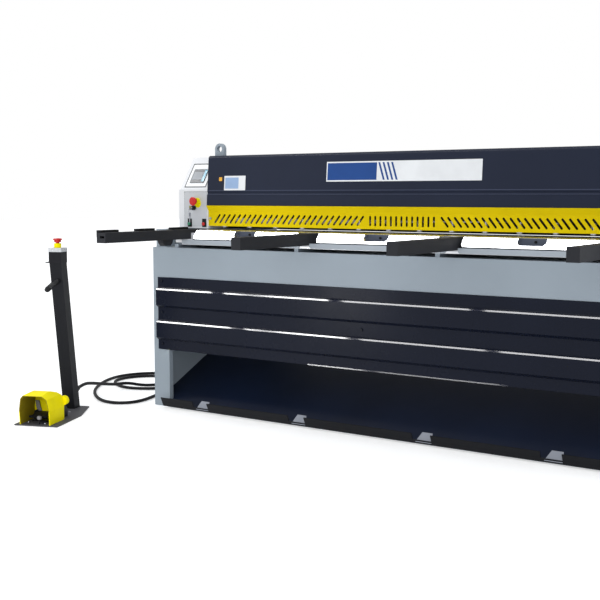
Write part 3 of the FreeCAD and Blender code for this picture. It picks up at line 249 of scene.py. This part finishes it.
# Cable from the console to the machine, through the same points as its solid
cable = {
    "diameter": 0.016,
    "rib": 0.0019,
    "ribDepth": 0.0007,
    "sides": 14,
    "start": (-263.2, -249.0, 89.7),
    "end": (-24.0, 520.0, 100.0),
    "route": [
        (-288, -184.4, 100.5), (-324, -88, 84), (-364, 30, 58), (-398, 140, 36), (-402, 236, 30),
        (-370, 308, 9), (-318, 360, 8.3), (-296, 430, 8.3), (-310, 508, 8.3), (-362, 566, 8.3),
        (-440, 586, 8.3), (-522, 562, 8.3), (-586, 484, 8.3), (-603, 400, 8.3), (-577, 325, 8.3),
        (-521, 268, 8.3), (-455, 233, 8.3), (-388, 217, 8.3), (-316, 236, 8.3), (-246, 282, 8.3),
        (-220, 360, 8.3), (-228, 450, 8.3), (-258, 548, 8.3), (-322, 640, 8.3), (-428, 690, 8.3),
        (-545, 657, 8.3), (-634, 572, 8.3), (-667, 460, 8.3), (-643, 343, 8.3), (-583, 222, 8.3),
        (-503, 104, 8.3), (-411, 6, 8.3), (-311, -71, 8.3), (-228, -112, 8.3), (-150, -110, 8.3),
        (-98, -62, 8.3), (-90, 14, 8.3), (-110, 98, 8.3), (-134, 180, 8.3), (-152, 262, 8.6),
        (-167, 345, 20), (-176, 432, 50), (-146, 488, 80), (-90, 520, 100),
    ],
}
route = [place(*point) for point in [cable["start"], *cable["route"], cable["end"]]]
cableCurve = bpy.data.curves.new("cableLine", "CURVE")
cableCurve.dimensions = "3D"
cableCurve.resolution_u = 16
spline = cableCurve.splines.new("NURBS")
spline.points.add(len(route) - 1)
for control, point in zip(spline.points, route):
    control.co = (*point, 1.0)
spline.order_u = 3
spline.use_endpoint_u = True
cableLine = bpy.data.objects.new("cableLine", cableCurve)
bpy.context.scene.collection.objects.link(cableLine)
lineMesh = evaluated(cableLine)
cablePath = [vertex.co.copy() for vertex in lineMesh.vertices]


def nodeTree(name, inputs):
    # a modifier tree with a geometry input and output and the named inputs after them
    tree = bpy.data.node_groups.new(name, "GeometryNodeTree")
    tree.interface.new_socket("Geometry", in_out="INPUT", socket_type="NodeSocketGeometry")
    tree.interface.new_socket("Geometry", in_out="OUTPUT", socket_type="NodeSocketGeometry")
    for label, kind in inputs.items():
        tree.interface.new_socket(label, in_out="INPUT", socket_type=kind)
    return tree, addNode(tree, "NodeGroupInput").outputs, addNode(tree, "NodeGroupOutput")


def applied(source, tree, values, name):
    # set the inputs by identifier, evaluate once and keep the plain mesh
    modifier = source.modifiers.new(tree.name, "NODES")
    modifier.node_group = tree
    for item in tree.interface.items_tree:
        if item.item_type == "SOCKET" and item.in_out == "INPUT" and item.name in values:
            modifier[item.identifier] = values[item.name]
    mesh = evaluated(source)
    mesh.name = name
    made = bpy.data.objects.new(name, mesh)
    bpy.context.scene.collection.objects.link(made)
    source.modifiers.clear()
    bpy.data.objects.remove(source)
    return made


# Corrugated conduit: every second ring of the sweep is sunk by the depth of a rib
ribTree, given, result = nodeTree("conduitRibs", {
    "Rib": "NodeSocketFloat", "Radius": "NodeSocketFloat", "Depth": "NodeSocketFloat",
    "Sides": "NodeSocketInt", "Material": "NodeSocketMaterial"})
resample = addNode(ribTree, "GeometryNodeResampleCurve", {
    "Curve": given["Geometry"], "Length": given["Rib"]}, mode="LENGTH")
everySecond = mathNode(ribTree, "MODULO", addNode(ribTree, "GeometryNodeInputIndex").outputs[0], 2.0)
sunk = mathNode(ribTree, "MULTIPLY", everySecond, given["Depth"])
profile = addNode(ribTree, "GeometryNodeCurvePrimitiveCircle", {"Radius": 1.0, "Resolution": given["Sides"]})
sweep = addNode(ribTree, "GeometryNodeCurveToMesh", {
    "Curve": resample.outputs["Curve"], "Profile Curve": profile.outputs["Curve"], "Fill Caps": True,
    "Scale": mathNode(ribTree, "SUBTRACT", given["Radius"], sunk)})
real = addNode(ribTree, "GeometryNodeRealizeInstances", {"Geometry": sweep.outputs["Mesh"]})
coloured = addNode(ribTree, "GeometryNodeSetMaterial", {
    "Geometry": real.outputs["Geometry"], "Material": given["Material"]})
feed(ribTree, result, {"Geometry": coloured.outputs["Geometry"]})
conduit = applied(cableLine, ribTree, {
    "Rib": cable["rib"], "Radius": cable["diameter"] / 2, "Depth": cable["ribDepth"], "Sides": cable["sides"],
    "Material": finishes["cable_sheath"]}, "conduit")
for polygon in conduit.data.polygons:
    polygon.use_smooth = True
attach(conduit, "machine")
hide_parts("console_cable")

# Screw heads: a chamfered pan with a dark hexagon just over it, repeated on the points of a mesh
screwHead = {"sides": 18, "chamfer": 0.82, "hexagon": 0.45, "over": 1.01}
screwTree, given, result = nodeTree("screwHeads", {
    "Radius": "NodeSocketFloat", "Height": "NodeSocketFloat", "Facing": "NodeSocketVector",
    "Head": "NodeSocketMaterial", "Recess": "NodeSocketMaterial"})
pan = addNode(screwTree, "GeometryNodeMeshCone", {
    "Vertices": screwHead["sides"], "Radius Bottom": given["Radius"], "Depth": given["Height"],
    "Radius Top": mathNode(screwTree, "MULTIPLY", given["Radius"], screwHead["chamfer"])})
hexagon = addNode(screwTree, "GeometryNodeMeshCircle", {
    "Vertices": 6, "Radius": mathNode(screwTree, "MULTIPLY", given["Radius"], screwHead["hexagon"]),
}, fill_type="NGON")
over = addNode(screwTree, "ShaderNodeCombineXYZ", {
    "Z": mathNode(screwTree, "MULTIPLY", given["Height"], screwHead["over"])})
lifted = addNode(screwTree, "GeometryNodeTransform", {
    "Geometry": hexagon.outputs["Mesh"], "Translation": over.outputs["Vector"]})
marked = addNode(screwTree, "GeometryNodeStoreNamedAttribute", {
    "Geometry": lifted.outputs["Geometry"], "Name": "recess", "Value": True,
}, data_type="BOOLEAN", domain="FACE")
whole = addNode(screwTree, "GeometryNodeJoinGeometry")
for piece in (pan.outputs["Mesh"], marked.outputs["Geometry"]):
    screwTree.links.new(piece, whole.inputs["Geometry"])
turned = addNode(screwTree, "FunctionNodeAlignRotationToVector", {"Vector": given["Facing"]}, axis="Z")
spread = addNode(screwTree, "GeometryNodeInstanceOnPoints", {
    "Points": given["Geometry"], "Instance": whole.outputs["Geometry"],
    "Rotation": turned.outputs["Rotation"]})
real = addNode(screwTree, "GeometryNodeRealizeInstances", {"Geometry": spread.outputs["Instances"]})
painted = addNode(screwTree, "GeometryNodeSetMaterial", {
    "Geometry": real.outputs["Geometry"], "Material": given["Head"]})
isRecess = addNode(screwTree, "GeometryNodeInputNamedAttribute", {"Name": "recess"}, data_type="BOOLEAN")
darkened = addNode(screwTree, "GeometryNodeSetMaterial", {
    "Geometry": painted.outputs["Geometry"], "Selection": isRecess.outputs["Attribute"],
    "Material": given["Recess"]})
feed(screwTree, result, {"Geometry": darkened.outputs["Geometry"]})


def screws(name, points, facing, radius, height, slotName):
    # one head standing on each point, turned to face the given way
    mesh = bpy.data.meshes.new(name + "Points")
    mesh.from_pydata([tuple(point) for point in points], [], [])
    source = bpy.data.objects.new(name + "Points", mesh)
    bpy.context.scene.collection.objects.link(source)
    made = applied(source, screwTree, {
        "Radius": radius / 1000, "Height": height / 1000, "Facing": tuple(facing), "Head": finishes[slotName],
        "Recess": finishes["black_plastic"]}, name)
    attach(made, "machine")


def meshPiece(name, build, materials, bevel=0.0):
    # build(bm) fills a mesh in the machine's own place, and an optional bevel rounds its edges
    bm = bmesh.new()
    build(bm)
    bmesh.ops.recalc_face_normals(bm, faces=bm.faces)
    mesh = bpy.data.meshes.new(name)
    bm.to_mesh(mesh)
    bm.free()
    for material in materials:
        mesh.materials.append(material)
    made = bpy.data.objects.new(name, mesh)
    bpy.context.scene.collection.objects.link(made)
    if bevel:
        rounding = made.modifiers.new("rounding", "BEVEL")
        rounding.width = bevel / 1000
        rounding.segments = 2
        rounding.limit_method = "ANGLE"
        rounding.angle_limit = math.radians(35)
    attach(made, "machine")
    return made


def slab(bm, corners, direction, thickness, slotIndex=0):
    # a plate from its outline and its thickness in millimetres along a direction
    low = [bm.verts.new(corner) for corner in corners]
    high = [bm.verts.new(corner + direction * thickness / 1000) for corner in corners]
    faces = [bm.faces.new(low), bm.faces.new(high)]
    for i in range(len(corners)):
        j = (i + 1) % len(corners)
        faces.append(bm.faces.new((low[i], low[j], high[j], high[i])))
    for face in faces:
        face.material_index = slotIndex


def sheet(bm, onFace, left, right, low, high, thickness, out=0.0, slotIndex=0, slant=0.0):
    # a rectangle, or a leaning one, on a face whose points are onFace(across, along, out)
    corners = [onFace(left, low, out), onFace(right, low, out), onFace(right + slant, high, out),
               onFace(left + slant, high, out)]
    outwards = (onFace(left, low, out + 1) - onFace(left, low, out)).normalized()
    slab(bm, corners, outwards, thickness, slotIndex)


def upright(depth):
    # the points of an upright face that stands so far behind the front of the beam
    return lambda x, z, out: place(x, depth - out, z)


def lathe(bm, stand, points, sides=32, slotIndex=0):
    # a turned shape from (radius, height) points in millimetres about the local Z axis, closed at both ends
    rings = []
    for radius, height in points:
        ring = []
        for i in range(sides if radius else 1):
            angle = 2 * math.pi * i / sides
            point = Vector((radius * math.cos(angle), radius * math.sin(angle), height)) / 1000
            ring.append(bm.verts.new(stand @ point))
        rings.append(ring)
    for first, second in zip(rings, rings[1:]):
        for i in range(sides):
            j = (i + 1) % sides
            loop = [first[i % len(first)], first[j % len(first)]]
            loop += [second[j % len(second)], second[i % len(second)]]
            corners = list(dict.fromkeys(loop))
            if len(corners) > 2:
                face = bm.faces.new(corners)
                face.smooth = True
                face.material_index = slotIndex


# Screws of the apron and the finger guard
fixings = {
    "apron": [(56, 598), (56, 450), (56, 301), (2344, 598), (2344, 450), (2344, 301), (1149, 443)],
    "apronFace": -3,
    "guard": [(158, 888), (2242, 888)],
    "guardFace": 237.5,
}
onApron = [place(x, fixings["apronFace"], z) for x, z in fixings["apron"]]
onGuard = [place(x, fixings["guardFace"], z) for x, z in fixings["guard"]]
screws("apronScrews", onApron, front, 7.5, 4, "navy_paint")
screws("guardScrews", onGuard, front, 7, 4, "blade_steel")
print("screws set")

# Glossy edges along the tops of the two ribs of the apron and along a part of its hem
ribs = {
    "left": 30.5, "right": 2369.5, "near": -13.4, "far": -18.3,
    "tops": (568, 414), "over": 6.2, "under": 11.8,
}
hem = {"left": 880, "right": 1800, "near": -2.9, "far": -6.4, "high": 277.2, "low": 273.1}
ribGloss = sprayPaint("ribGloss", linear(20, 24, 46), roughness=0.16, coat=0.6, peel=0.02, shine=0.4)


def edgeStrip(bm, size, high, low):
    # a three-sided strip, upright behind and leaning in front
    left, near, far = size["left"], size["near"], size["far"]
    slab(bm, [place(left, near, high), place(left, far, low), place(left, near, low)], sideways,
         size["right"] - left)


def buildRibs(bm):
    for top in ribs["tops"]:
        edgeStrip(bm, ribs, top - ribs["over"], top - ribs["under"])
    edgeStrip(bm, hem, hem["high"], hem["low"])


meshPiece("ribEdges", buildRibs, [ribGloss])

# Pale tabs in the notches of the chute's lip stand for the chute's bent edge; their pale grey is painted
# highlight
highlightTabs = {
    "middles": (304, 840, 1446, 1987), "left": -30, "right": 42, "slant": 26, "low": (-24.6, 12.0),
    "high": (-14.0, 52.0), "thickness": 0.8,
}
tabHighlightGrey = mouldedPlastic("tabHighlightGrey", linear(146, 150, 160), roughness=0.5, shine=0.2)


def buildHighlightTabs(bm):
    for middle in highlightTabs["middles"]:
        left, right = middle + highlightTabs["left"], middle + highlightTabs["right"]
        corners = [place(left, *highlightTabs["low"]), place(right, *highlightTabs["low"]), place(right, *highlightTabs["high"]),
                   place(left + highlightTabs["slant"], *highlightTabs["high"])]
        slab(bm, corners, front, highlightTabs["thickness"])


meshPiece("lipHighlightTabs", buildHighlightTabs, [tabHighlightGrey])

# Front of the table: painted ledge plates with a dark groove over them, and the linings of the finger pockets
ledge = {
    "spans": [(181, 839), (887, 1531), (1580, 2186), (2234, 2262)], "low": 773, "high": 794.5, "out": 3,
    "chamfer": 7,
}
groove = {"spans": [(252, 801), (926, 1475), (1599, 2148)], "low": 794.8, "high": 799.2, "out": 0.4}
pocket = {
    "middles": (526.7, 1200, 1873.3), "half": 57.2, "low": 810.2, "high": 836.4, "front": 16, "back": 59.8,
    "backThickness": 0.6, "floorInset": 8, "floorBack": 58.8, "floorThickness": 0.5, "boltFace": 59.1,
    "boltZ": 823,
}
ledgeGrey = sprayPaint("ledgeGrey", linear(168, 176, 184), roughness=0.4, cloud=0.04, peel=0.08, shine=0.3)
liningGrey = sprayPaint("liningGrey", linear(84, 90, 104), roughness=0.5, cloud=0.1, shine=0.2)


def buildLedges(bm):
    low, high, chamfer = ledge["low"], ledge["high"], ledge["chamfer"]
    for left, right in ledge["spans"]:
        outline = [(left + chamfer, low), (right - chamfer, low), (right, low + chamfer), (right, high),
                   (left, high), (left, low + chamfer)]
        slab(bm, [place(x, 0, z) for x, z in outline], front, ledge["out"])


def buildGrooves(bm):
    for left, right in groove["spans"]:
        sheet(bm, upright(0), left, right, groove["low"], groove["high"], groove["out"])


def onPocketFloor(x, y, out):
    return place(x, y, pocket["low"] + out)


def buildLinings(bm):
    for middle in pocket["middles"]:
        left, right = middle - pocket["half"], middle + pocket["half"]
        inset = pocket["floorInset"]
        sheet(bm, upright(pocket["back"]), left, right, pocket["low"], pocket["high"],
              pocket["backThickness"])
        sheet(bm, onPocketFloor, left + inset, right - inset, pocket["front"], pocket["floorBack"],
              pocket["floorThickness"])


meshPiece("tableLedges", buildLedges, [ledgeGrey], bevel=0.8)
meshPiece("tableGrooves", buildGrooves, [finishes["black_plastic"]])
meshPiece("pocketLinings", buildLinings, [liningGrey])
pocketBolts = [place(middle, pocket["boltFace"], pocket["boltZ"]) for middle in pocket["middles"]]
screws("pocketBolts", pocketBolts, front, 6, 4, "black_plastic")

# Black rubber curtain behind the blades, hung there as painted shade for the dark band under the guard
shadeCurtain = {"left": 147, "right": 2253, "back": 352.8, "low": 838.5, "high": 955, "thickness": 2.5}


def buildShadeCurtain(bm):
    sheet(bm, upright(shadeCurtain["back"]), shadeCurtain["left"], shadeCurtain["right"], shadeCurtain["low"], shadeCurtain["high"],
          shadeCurtain["thickness"])


meshPiece("rearShadeCurtain", buildShadeCurtain, [finishes["black_plastic"]])
print("table front dressed")

# Upper cover: a plate and a label, both bare but for plain fields and stripes, a bare tag and lighter lines
# along the bead's edges as painted highlight
coverFace = {"middleZ": 1015, "middleY": 227.9, "lean": 12.1 / 160, "tip": 0.075}
coverPlates = {
    "left": 824, "right": 1571, "low": 1059, "high": 1146, "thickness": 1.2, "margin": 6, "printing": 0.3,
    "fieldLeft": 829, "fieldRight": 1080, "stripes": (1112, 1133, 1154, 1175), "stripeWidth": 9,
    "stripeLean": -26,
}
coverLabel = {
    "left": 249, "right": 374, "low": 1022, "high": 1090, "thickness": 0.6, "field": (255, 334, 1030, 1082),
    "fieldThickness": 0.2,
}
coverTag = {"left": 217, "right": 235, "low": 1066, "high": 1084, "thickness": 0.6}
# two lighter lines along the bead's edges: painted highlight
beadHighlights = {"lows": (1002.6, 1020.2), "width": 2.2, "thickness": 0.4, "endGap": 2}
seated = 0.1  # how far off the cover the lowest sheets start
fieldBlue = mouldedPlastic("plateBlue", linear(24, 70, 138), roughness=0.45, grain=0.04, shine=0.2)
tagYellow = mouldedPlastic("tagYellow", linear(244, 176, 24), grain=0.04)
paleBlue = mouldedPlastic("labelBlue", linear(150, 178, 216), roughness=0.45, grain=0.04)
beadHighlightBlue = sprayPaint("beadHighlightBlue", linear(66, 74, 98), roughness=0.4, coat=0.1, cloud=0.04, peel=0.03,
                      shine=0.2)


def onCover(x, z, out):
    # a point on the leaning face of the upper cover
    lean = coverFace["middleY"] + (z - coverFace["middleZ"]) * coverFace["lean"]
    return place(x, lean - out, z + out * coverFace["tip"])


def buildBeadHighlights(bm):
    across = [corner[0] * 1000 + machine["length"] / 2 for corner in nodes["upper_cover"].bound_box]
    left, right = min(across) + beadHighlights["endGap"], max(across) - beadHighlights["endGap"]
    for low in beadHighlights["lows"]:
        sheet(bm, onCover, left, right, low, low + beadHighlights["width"], beadHighlights["thickness"], seated)


def buildPlates(bm):
    p = coverPlates
    low, high, out = p["low"] + p["margin"], p["high"] - p["margin"], seated + p["thickness"]
    sheet(bm, onCover, p["left"], p["right"], p["low"], p["high"], p["thickness"], seated)
    sheet(bm, onCover, p["fieldLeft"], p["fieldRight"], low, high, p["printing"], out, 1)
    for left in p["stripes"]:
        sheet(bm, onCover, left, left + p["stripeWidth"], low, high, p["printing"], out, 1, p["stripeLean"])
    for size, slotIndex in ((coverLabel, 0), (coverTag, 2)):
        sheet(bm, onCover, size["left"], size["right"], size["low"], size["high"], size["thickness"], seated,
              slotIndex)
    labelTop = seated + coverLabel["thickness"]
    sheet(bm, onCover, *coverLabel["field"], coverLabel["fieldThickness"], labelTop, 3)


meshPiece("beadHighlights", buildBeadHighlights, [beadHighlightBlue])
meshPiece("coverPlates", buildPlates, [finishes["white_plastic"], fieldBlue, tagYellow, paleBlue])

# Controls on the left housing: holders behind the buttons, keys, screen, and lines round the door and fascia
holder = {"face": 230, "middles": (35, 125), "half": 13, "low": 846, "high": 886, "thickness": 0.6}
door = {"face": 231.8, "lines": [(0, 2, 846, 1014), (0, 144, 1014, 1016)], "thickness": 0.3}
fascia = {
    "y": 242, "z": 1026, "slope": 56, "out": 2.05, "thickness": 0.4,
    "lines": [(-12, 120, 12, 17), (-12, -8, 17, 147), (-12, 120, 147, 152), (116, 120, 17, 147)],
}
screen = {
    "glass": (11, 97, 38, 117), "thickness": 3.6, "field": (17, 76, 56, 100), "edge": (80, 95, 44, 112),
    "printing": 0.3, "over": 0.05,
}
stopDisc = {"x": 86, "z": 959, "face": 229.9, "radius": 20, "thickness": 0.6}
keys = {
    "x": 63, "z": 938, "barrelFace": 214, "barrelRadius": 3.5, "barrelLength": 6, "bowFace": 206.5,
    "bow": [(0, 9), (0, -9), (-16, -11), (-16, 11)], "thickness": 2,
    "ringY": -12, "ringZ": -12, "ringDepth": 10, "ringHeight": 12, "ringWire": 1.2, "ringSides": 20,
    "spare": [(-4, -24), (-20, -24), (-18, -40), (-14, -42), (-14, -70), (-9, -70), (-9, -42), (-6, -40)],
}
screenGlass = mouldedPlastic("screenGlass", linear(70, 74, 80), roughness=0.3, grain=0.0, shine=0.3)
screenField = mouldedPlastic("screenField", linear(126, 132, 140), roughness=0.3, grain=0.0, shine=0.3)
screenEdge = mouldedPlastic("screenEdge", linear(70, 160, 190), roughness=0.2, grain=0.0)
facingFront = Matrix.Rotation(math.pi / 2, 4, "X")


def onFascia(x, along, out):
    # a point on the sloping control face: run up the slope and height off it
    angle = math.radians(fascia["slope"])
    return place(x, fascia["y"] + along * math.cos(angle) - out * math.sin(angle),
                 fascia["z"] + along * math.sin(angle) + out * math.cos(angle))


def onKeys(y, z, x=0.0):
    return place(keys["x"] + x, keys["bowFace"] + y, keys["z"] + z)


def buildHolders(bm):
    for middle in holder["middles"]:
        sheet(bm, upright(holder["face"]), middle - holder["half"], middle + holder["half"], holder["low"],
              holder["high"], holder["thickness"])


def buildKeys(bm):
    barrel = Matrix.Translation(place(keys["x"], keys["barrelFace"], keys["z"])) @ facingFront
    radius, length = keys["barrelRadius"], keys["barrelLength"]
    lathe(bm, barrel, [(0, 0), (radius, 0), (radius, length), (0, length)], 16)
    slab(bm, [onKeys(y, z, -keys["thickness"] / 2) for y, z in keys["bow"]], sideways, keys["thickness"])
    # the ring, and the spare key that hangs from it
    wire = []
    for i in range(keys["ringSides"] + 1):
        angle = 2 * math.pi * i / keys["ringSides"]
        y = keys["ringY"] + keys["ringDepth"] * math.sin(angle)
        wire.append((y, keys["ringZ"] + keys["ringHeight"] * math.cos(angle)))
    thick = keys["ringWire"]
    for (y, z), (nextY, nextZ) in zip(wire, wire[1:]):
        outline = [(y, z), (nextY, nextZ), (nextY + thick, nextZ), (y + thick, z)]
        slab(bm, [onKeys(*point) for point in outline], sideways, thick)
    slab(bm, [onKeys(*point) for point in keys["spare"]], sideways, keys["thickness"])


def buildScreen(bm):
    printed = fascia["out"] + screen["thickness"] + screen["over"]
    sheet(bm, onFascia, *screen["glass"], screen["thickness"], fascia["out"])
    sheet(bm, onFascia, *screen["field"], screen["printing"], printed, 2)
    sheet(bm, onFascia, *screen["edge"], screen["printing"], printed, 1)


def buildLines(bm):
    for line in door["lines"]:
        sheet(bm, upright(door["face"]), *line, door["thickness"])
    for line in fascia["lines"]:
        sheet(bm, onFascia, *line, fascia["thickness"], fascia["out"])


def buildDisc(bm):
    stand = Matrix.Translation(place(stopDisc["x"], stopDisc["face"], stopDisc["z"])) @ facingFront
    radius, thickness = stopDisc["radius"], stopDisc["thickness"]
    lathe(bm, stand, [(0, 0), (radius, 0), (radius, thickness), (0, thickness)], 40)


meshPiece("buttonHolders", buildHolders, [finishes["black_plastic"]])
meshPiece("panelKeys", buildKeys, [finishes["blade_steel"]])
meshPiece("panelScreen", buildScreen, [screenGlass, screenEdge, screenField])
meshPiece("doorGroove", buildLines, [finishes["black_plastic"]])
meshPiece("stopDisc", buildDisc, [finishes["yellow_plastic"]])
print("controls dressed")

# Console: screws of the base, tapered cable nuts, the latch in the hood and the bar of the hand peg
console = {
    "x": -112.0, "y": -651.3, "turn": 21.0, "plate": 5,
    "screws": [(-54, 46), (33, 33), (27, 289), (-27, 289)],
    "pegNear": (-2, 257, 611), "pegFar": (-49, 279, 586), "pegRadius": 10, "hoodMiddle": 60,
}
cableNut = {
    "inside": 0.024, "flats": [(0, 0), (14.5, 0), (14.5, 9), (13.5, 10), (0, 10)],
    "cone": [(0, 9.5), (12.8, 9.5), (12.8, 16), (10.8, 30), (8.8, 34), (0, 34)],
}
latch = {
    "outline": [(-50, 5.2), (-30, 5.2), (-30, 39), (-38, 62), (-42, 88), (-61, 88), (-57, 62), (-50, 39)],
    "depth": 126, "thickness": 8, "stand": (14.6, 15), "stem": [(0, 0), (3, 0), (3, 22), (0, 22)],
    "knob": [(0, 19.5), (8.5, 22), (10.8, 30), (8.5, 37), (0, 39.5)],
}
latchGrey = mouldedPlastic("latchGrey", linear(132, 131, 132), shine=0.2)


def onConsole(across, back, z):
    # a point on the turned console, from the middle of its front edge
    turn = math.radians(console["turn"])
    return place(console["x"] + across * math.cos(turn) - back * math.sin(turn),
                 console["y"] + across * math.sin(turn) + back * math.cos(turn), z)


backwards = (onConsole(0, 1, 0) - onConsole(0, 0, 0)).normalized()


def pointed(base, direction):
    # a stand at a point, with its Z axis along the direction
    return Matrix.Translation(base) @ direction.to_track_quat("Z", "Y").to_matrix().to_4x4()


def buildNuts(bm):
    for end, inner in ((cablePath[0], cablePath[1]), (cablePath[-1], cablePath[-2])):
        along = (inner - end).normalized()
        stand = pointed(end - along * cableNut["inside"], along)
        lathe(bm, stand, cableNut["flats"], 6)
        lathe(bm, stand, cableNut["cone"], 28)


def buildLatch(bm):
    lever = [onConsole(across, latch["depth"], z) for across, z in latch["outline"]]
    slab(bm, lever, backwards, latch["thickness"])
    stand = Matrix.Translation(onConsole(*latch["stand"], console["plate"]))
    lathe(bm, stand, latch["stem"], 12, 1)
    lathe(bm, stand, latch["knob"], 24)


def buildPegBar(bm):
    near, far = onConsole(*console["pegNear"]), onConsole(*console["pegFar"])
    length, radius = (far - near).length * 1000, console["pegRadius"]
    lathe(bm, pointed(near, (far - near).normalized()),
          [(0, -0.9 * radius), (0.7 * radius, -0.6 * radius), (radius, 0), (radius, length), (0, length)], 24)


onBase = [onConsole(*point, console["plate"]) for point in console["screws"]]
screws("baseScrews", onBase, upwards, 5.5, 3.5, "blade_steel")
cableNuts = meshPiece("cableNuts", buildNuts, [finishes["black_plastic"]])
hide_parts("console_gland", "frame_gland")
meshPiece("hoodLatch", buildLatch, [latchGrey, finishes["black_plastic"]], bevel=1.5)
meshPiece("pegBar", buildPegBar, [finishes["black_plastic"]])

# the inside of the hood is painted darker than its outside, as painted shade
hood = nodes["pedal_hood"].data
hood.materials.append(mouldedPlastic("hoodInsidePaintedShade", linear(150, 134, 30), roughness=0.6, shine=0.03))
for polygon in hood.polygons:
    around = polygon.center - onConsole(0, 0, console["hoodMiddle"])
    around -= around.project(backwards)
    if polygon.normal.dot(around) < -0.02 * around.length:
        polygon.material_index = 1
print("console dressed")

# Floor, light and background
studio = {
    "floorSize": 60.0, "floorDrop": 0.001, "floorLift": 0.42, "ambient": 1.0,
    "ambientColour": (0.96, 0.98, 1.0, 1.0),
    "lamps": [
        ("keyLight", (2.6, -5.0, 1.9), (-0.2, 0, 0.6), 3.0, 1.6, 14.0),
        ("consoleLight", (-1.05, -2.05, 0.45), (-1.35, -1.15, 0.15), 0.4, 0.4, 3.6),
        ("fillLight", (-4.0, -3.8, 1.6), (-0.4, 0, 0.5), 2.4, 1.8, 8.0),
    ],
    "strips": [
        ("stripLeft", -3.3, 1.1, 1.0), ("stripMiddle", -2.2, 0.6, 1.0), ("stripRight", -0.4, 3.0, 0.36),
    ],
    "stripY": -1.3, "stripZ": 3.2, "stripDepth": 0.5, "stripGlow": 130.0,
}
half, down = studio["floorSize"] / 2, -studio["floorDrop"]
floorMesh = bpy.data.meshes.new("studioFloor")
floorCorners = [(-half, -half, down), (half, -half, down), (half, half, down), (-half, half, down)]
floorMesh.from_pydata(floorCorners, [], [(0, 1, 2, 3)])
studioFloor = bpy.data.objects.new("studioFloor", floorMesh)
bpy.context.scene.collection.objects.link(studioFloor)
floor = Finish("paleFloor")
paleGrey = floor.ramp(floor.noise(3.0), (0.3, grey(0.84)), (0.7, grey(0.86)))
floorLook = {"Roughness": 0.9, "Specular IOR Level": 0.1, "Base Color": paleGrey}
floorMesh.materials.append(floor.finished(floorLook))
rays = addNode(floor.tree, "ShaderNodeLightPath").outputs
seen = mathNode(floor.tree, "MAXIMUM", rays["Is Camera Ray"], rays["Is Glossy Ray"])
glow = addNode(floor.tree, "ShaderNodeEmission", {
    "Strength": mathNode(floor.tree, "MULTIPLY", seen, studio["floorLift"])})
both = addNode(floor.tree, "ShaderNodeAddShader", {0: floor.shader.outputs[0], 1: glow.outputs[0]})
feed(floor.tree, floor.tree.nodes["Material Output"], {"Surface": both.outputs[0]})

world = bpy.data.worlds.new("studioWorld")
bpy.context.scene.world = world
world.use_nodes = True
sky = world.node_tree
ambient = sky.nodes["Background"]
feed(sky, ambient, {"Color": studio["ambientColour"], "Strength": studio["ambient"]})
backdrop = addNode(sky, "ShaderNodeBackground", {"Color": grey(1)})
rays = addNode(sky, "ShaderNodeLightPath").outputs
straight = mathNode(sky, "MAXIMUM", rays["Is Camera Ray"], rays["Is Transmission Ray"])
shown = mathNode(sky, "MAXIMUM", straight, rays["Is Glossy Ray"])
mixed = addNode(sky, "ShaderNodeMixShader", {0: shown, 1: ambient.outputs[0], 2: backdrop.outputs[0]})
feed(sky, sky.nodes["World Output"], {"Surface": mixed.outputs[0]})


def softLight(name, position, target, width, height, power):
    data = bpy.data.lights.new(name, "AREA")
    data.shape = "RECTANGLE"
    data.size = width
    data.size_y = height
    data.energy = power
    lamp = bpy.data.objects.new(name, data)
    lamp.location = position
    lamp.rotation_euler = (Vector(target) - Vector(position)).to_track_quat("-Z", "Y").to_euler()
    bpy.context.scene.collection.objects.link(lamp)
    return lamp


for lamp in studio["lamps"]:
    softLight(*lamp)
# three lamps overhead that only gloss and bare metal show
for name, middle, width, share in studio["strips"]:
    position = (middle, studio["stripY"], studio["stripZ"])
    power = studio["stripGlow"] * share * width / 3
    strip = softLight(name, position, (middle, studio["stripY"], 0.0), width, studio["stripDepth"], power)
    strip.visible_diffuse = False
print("studio set")
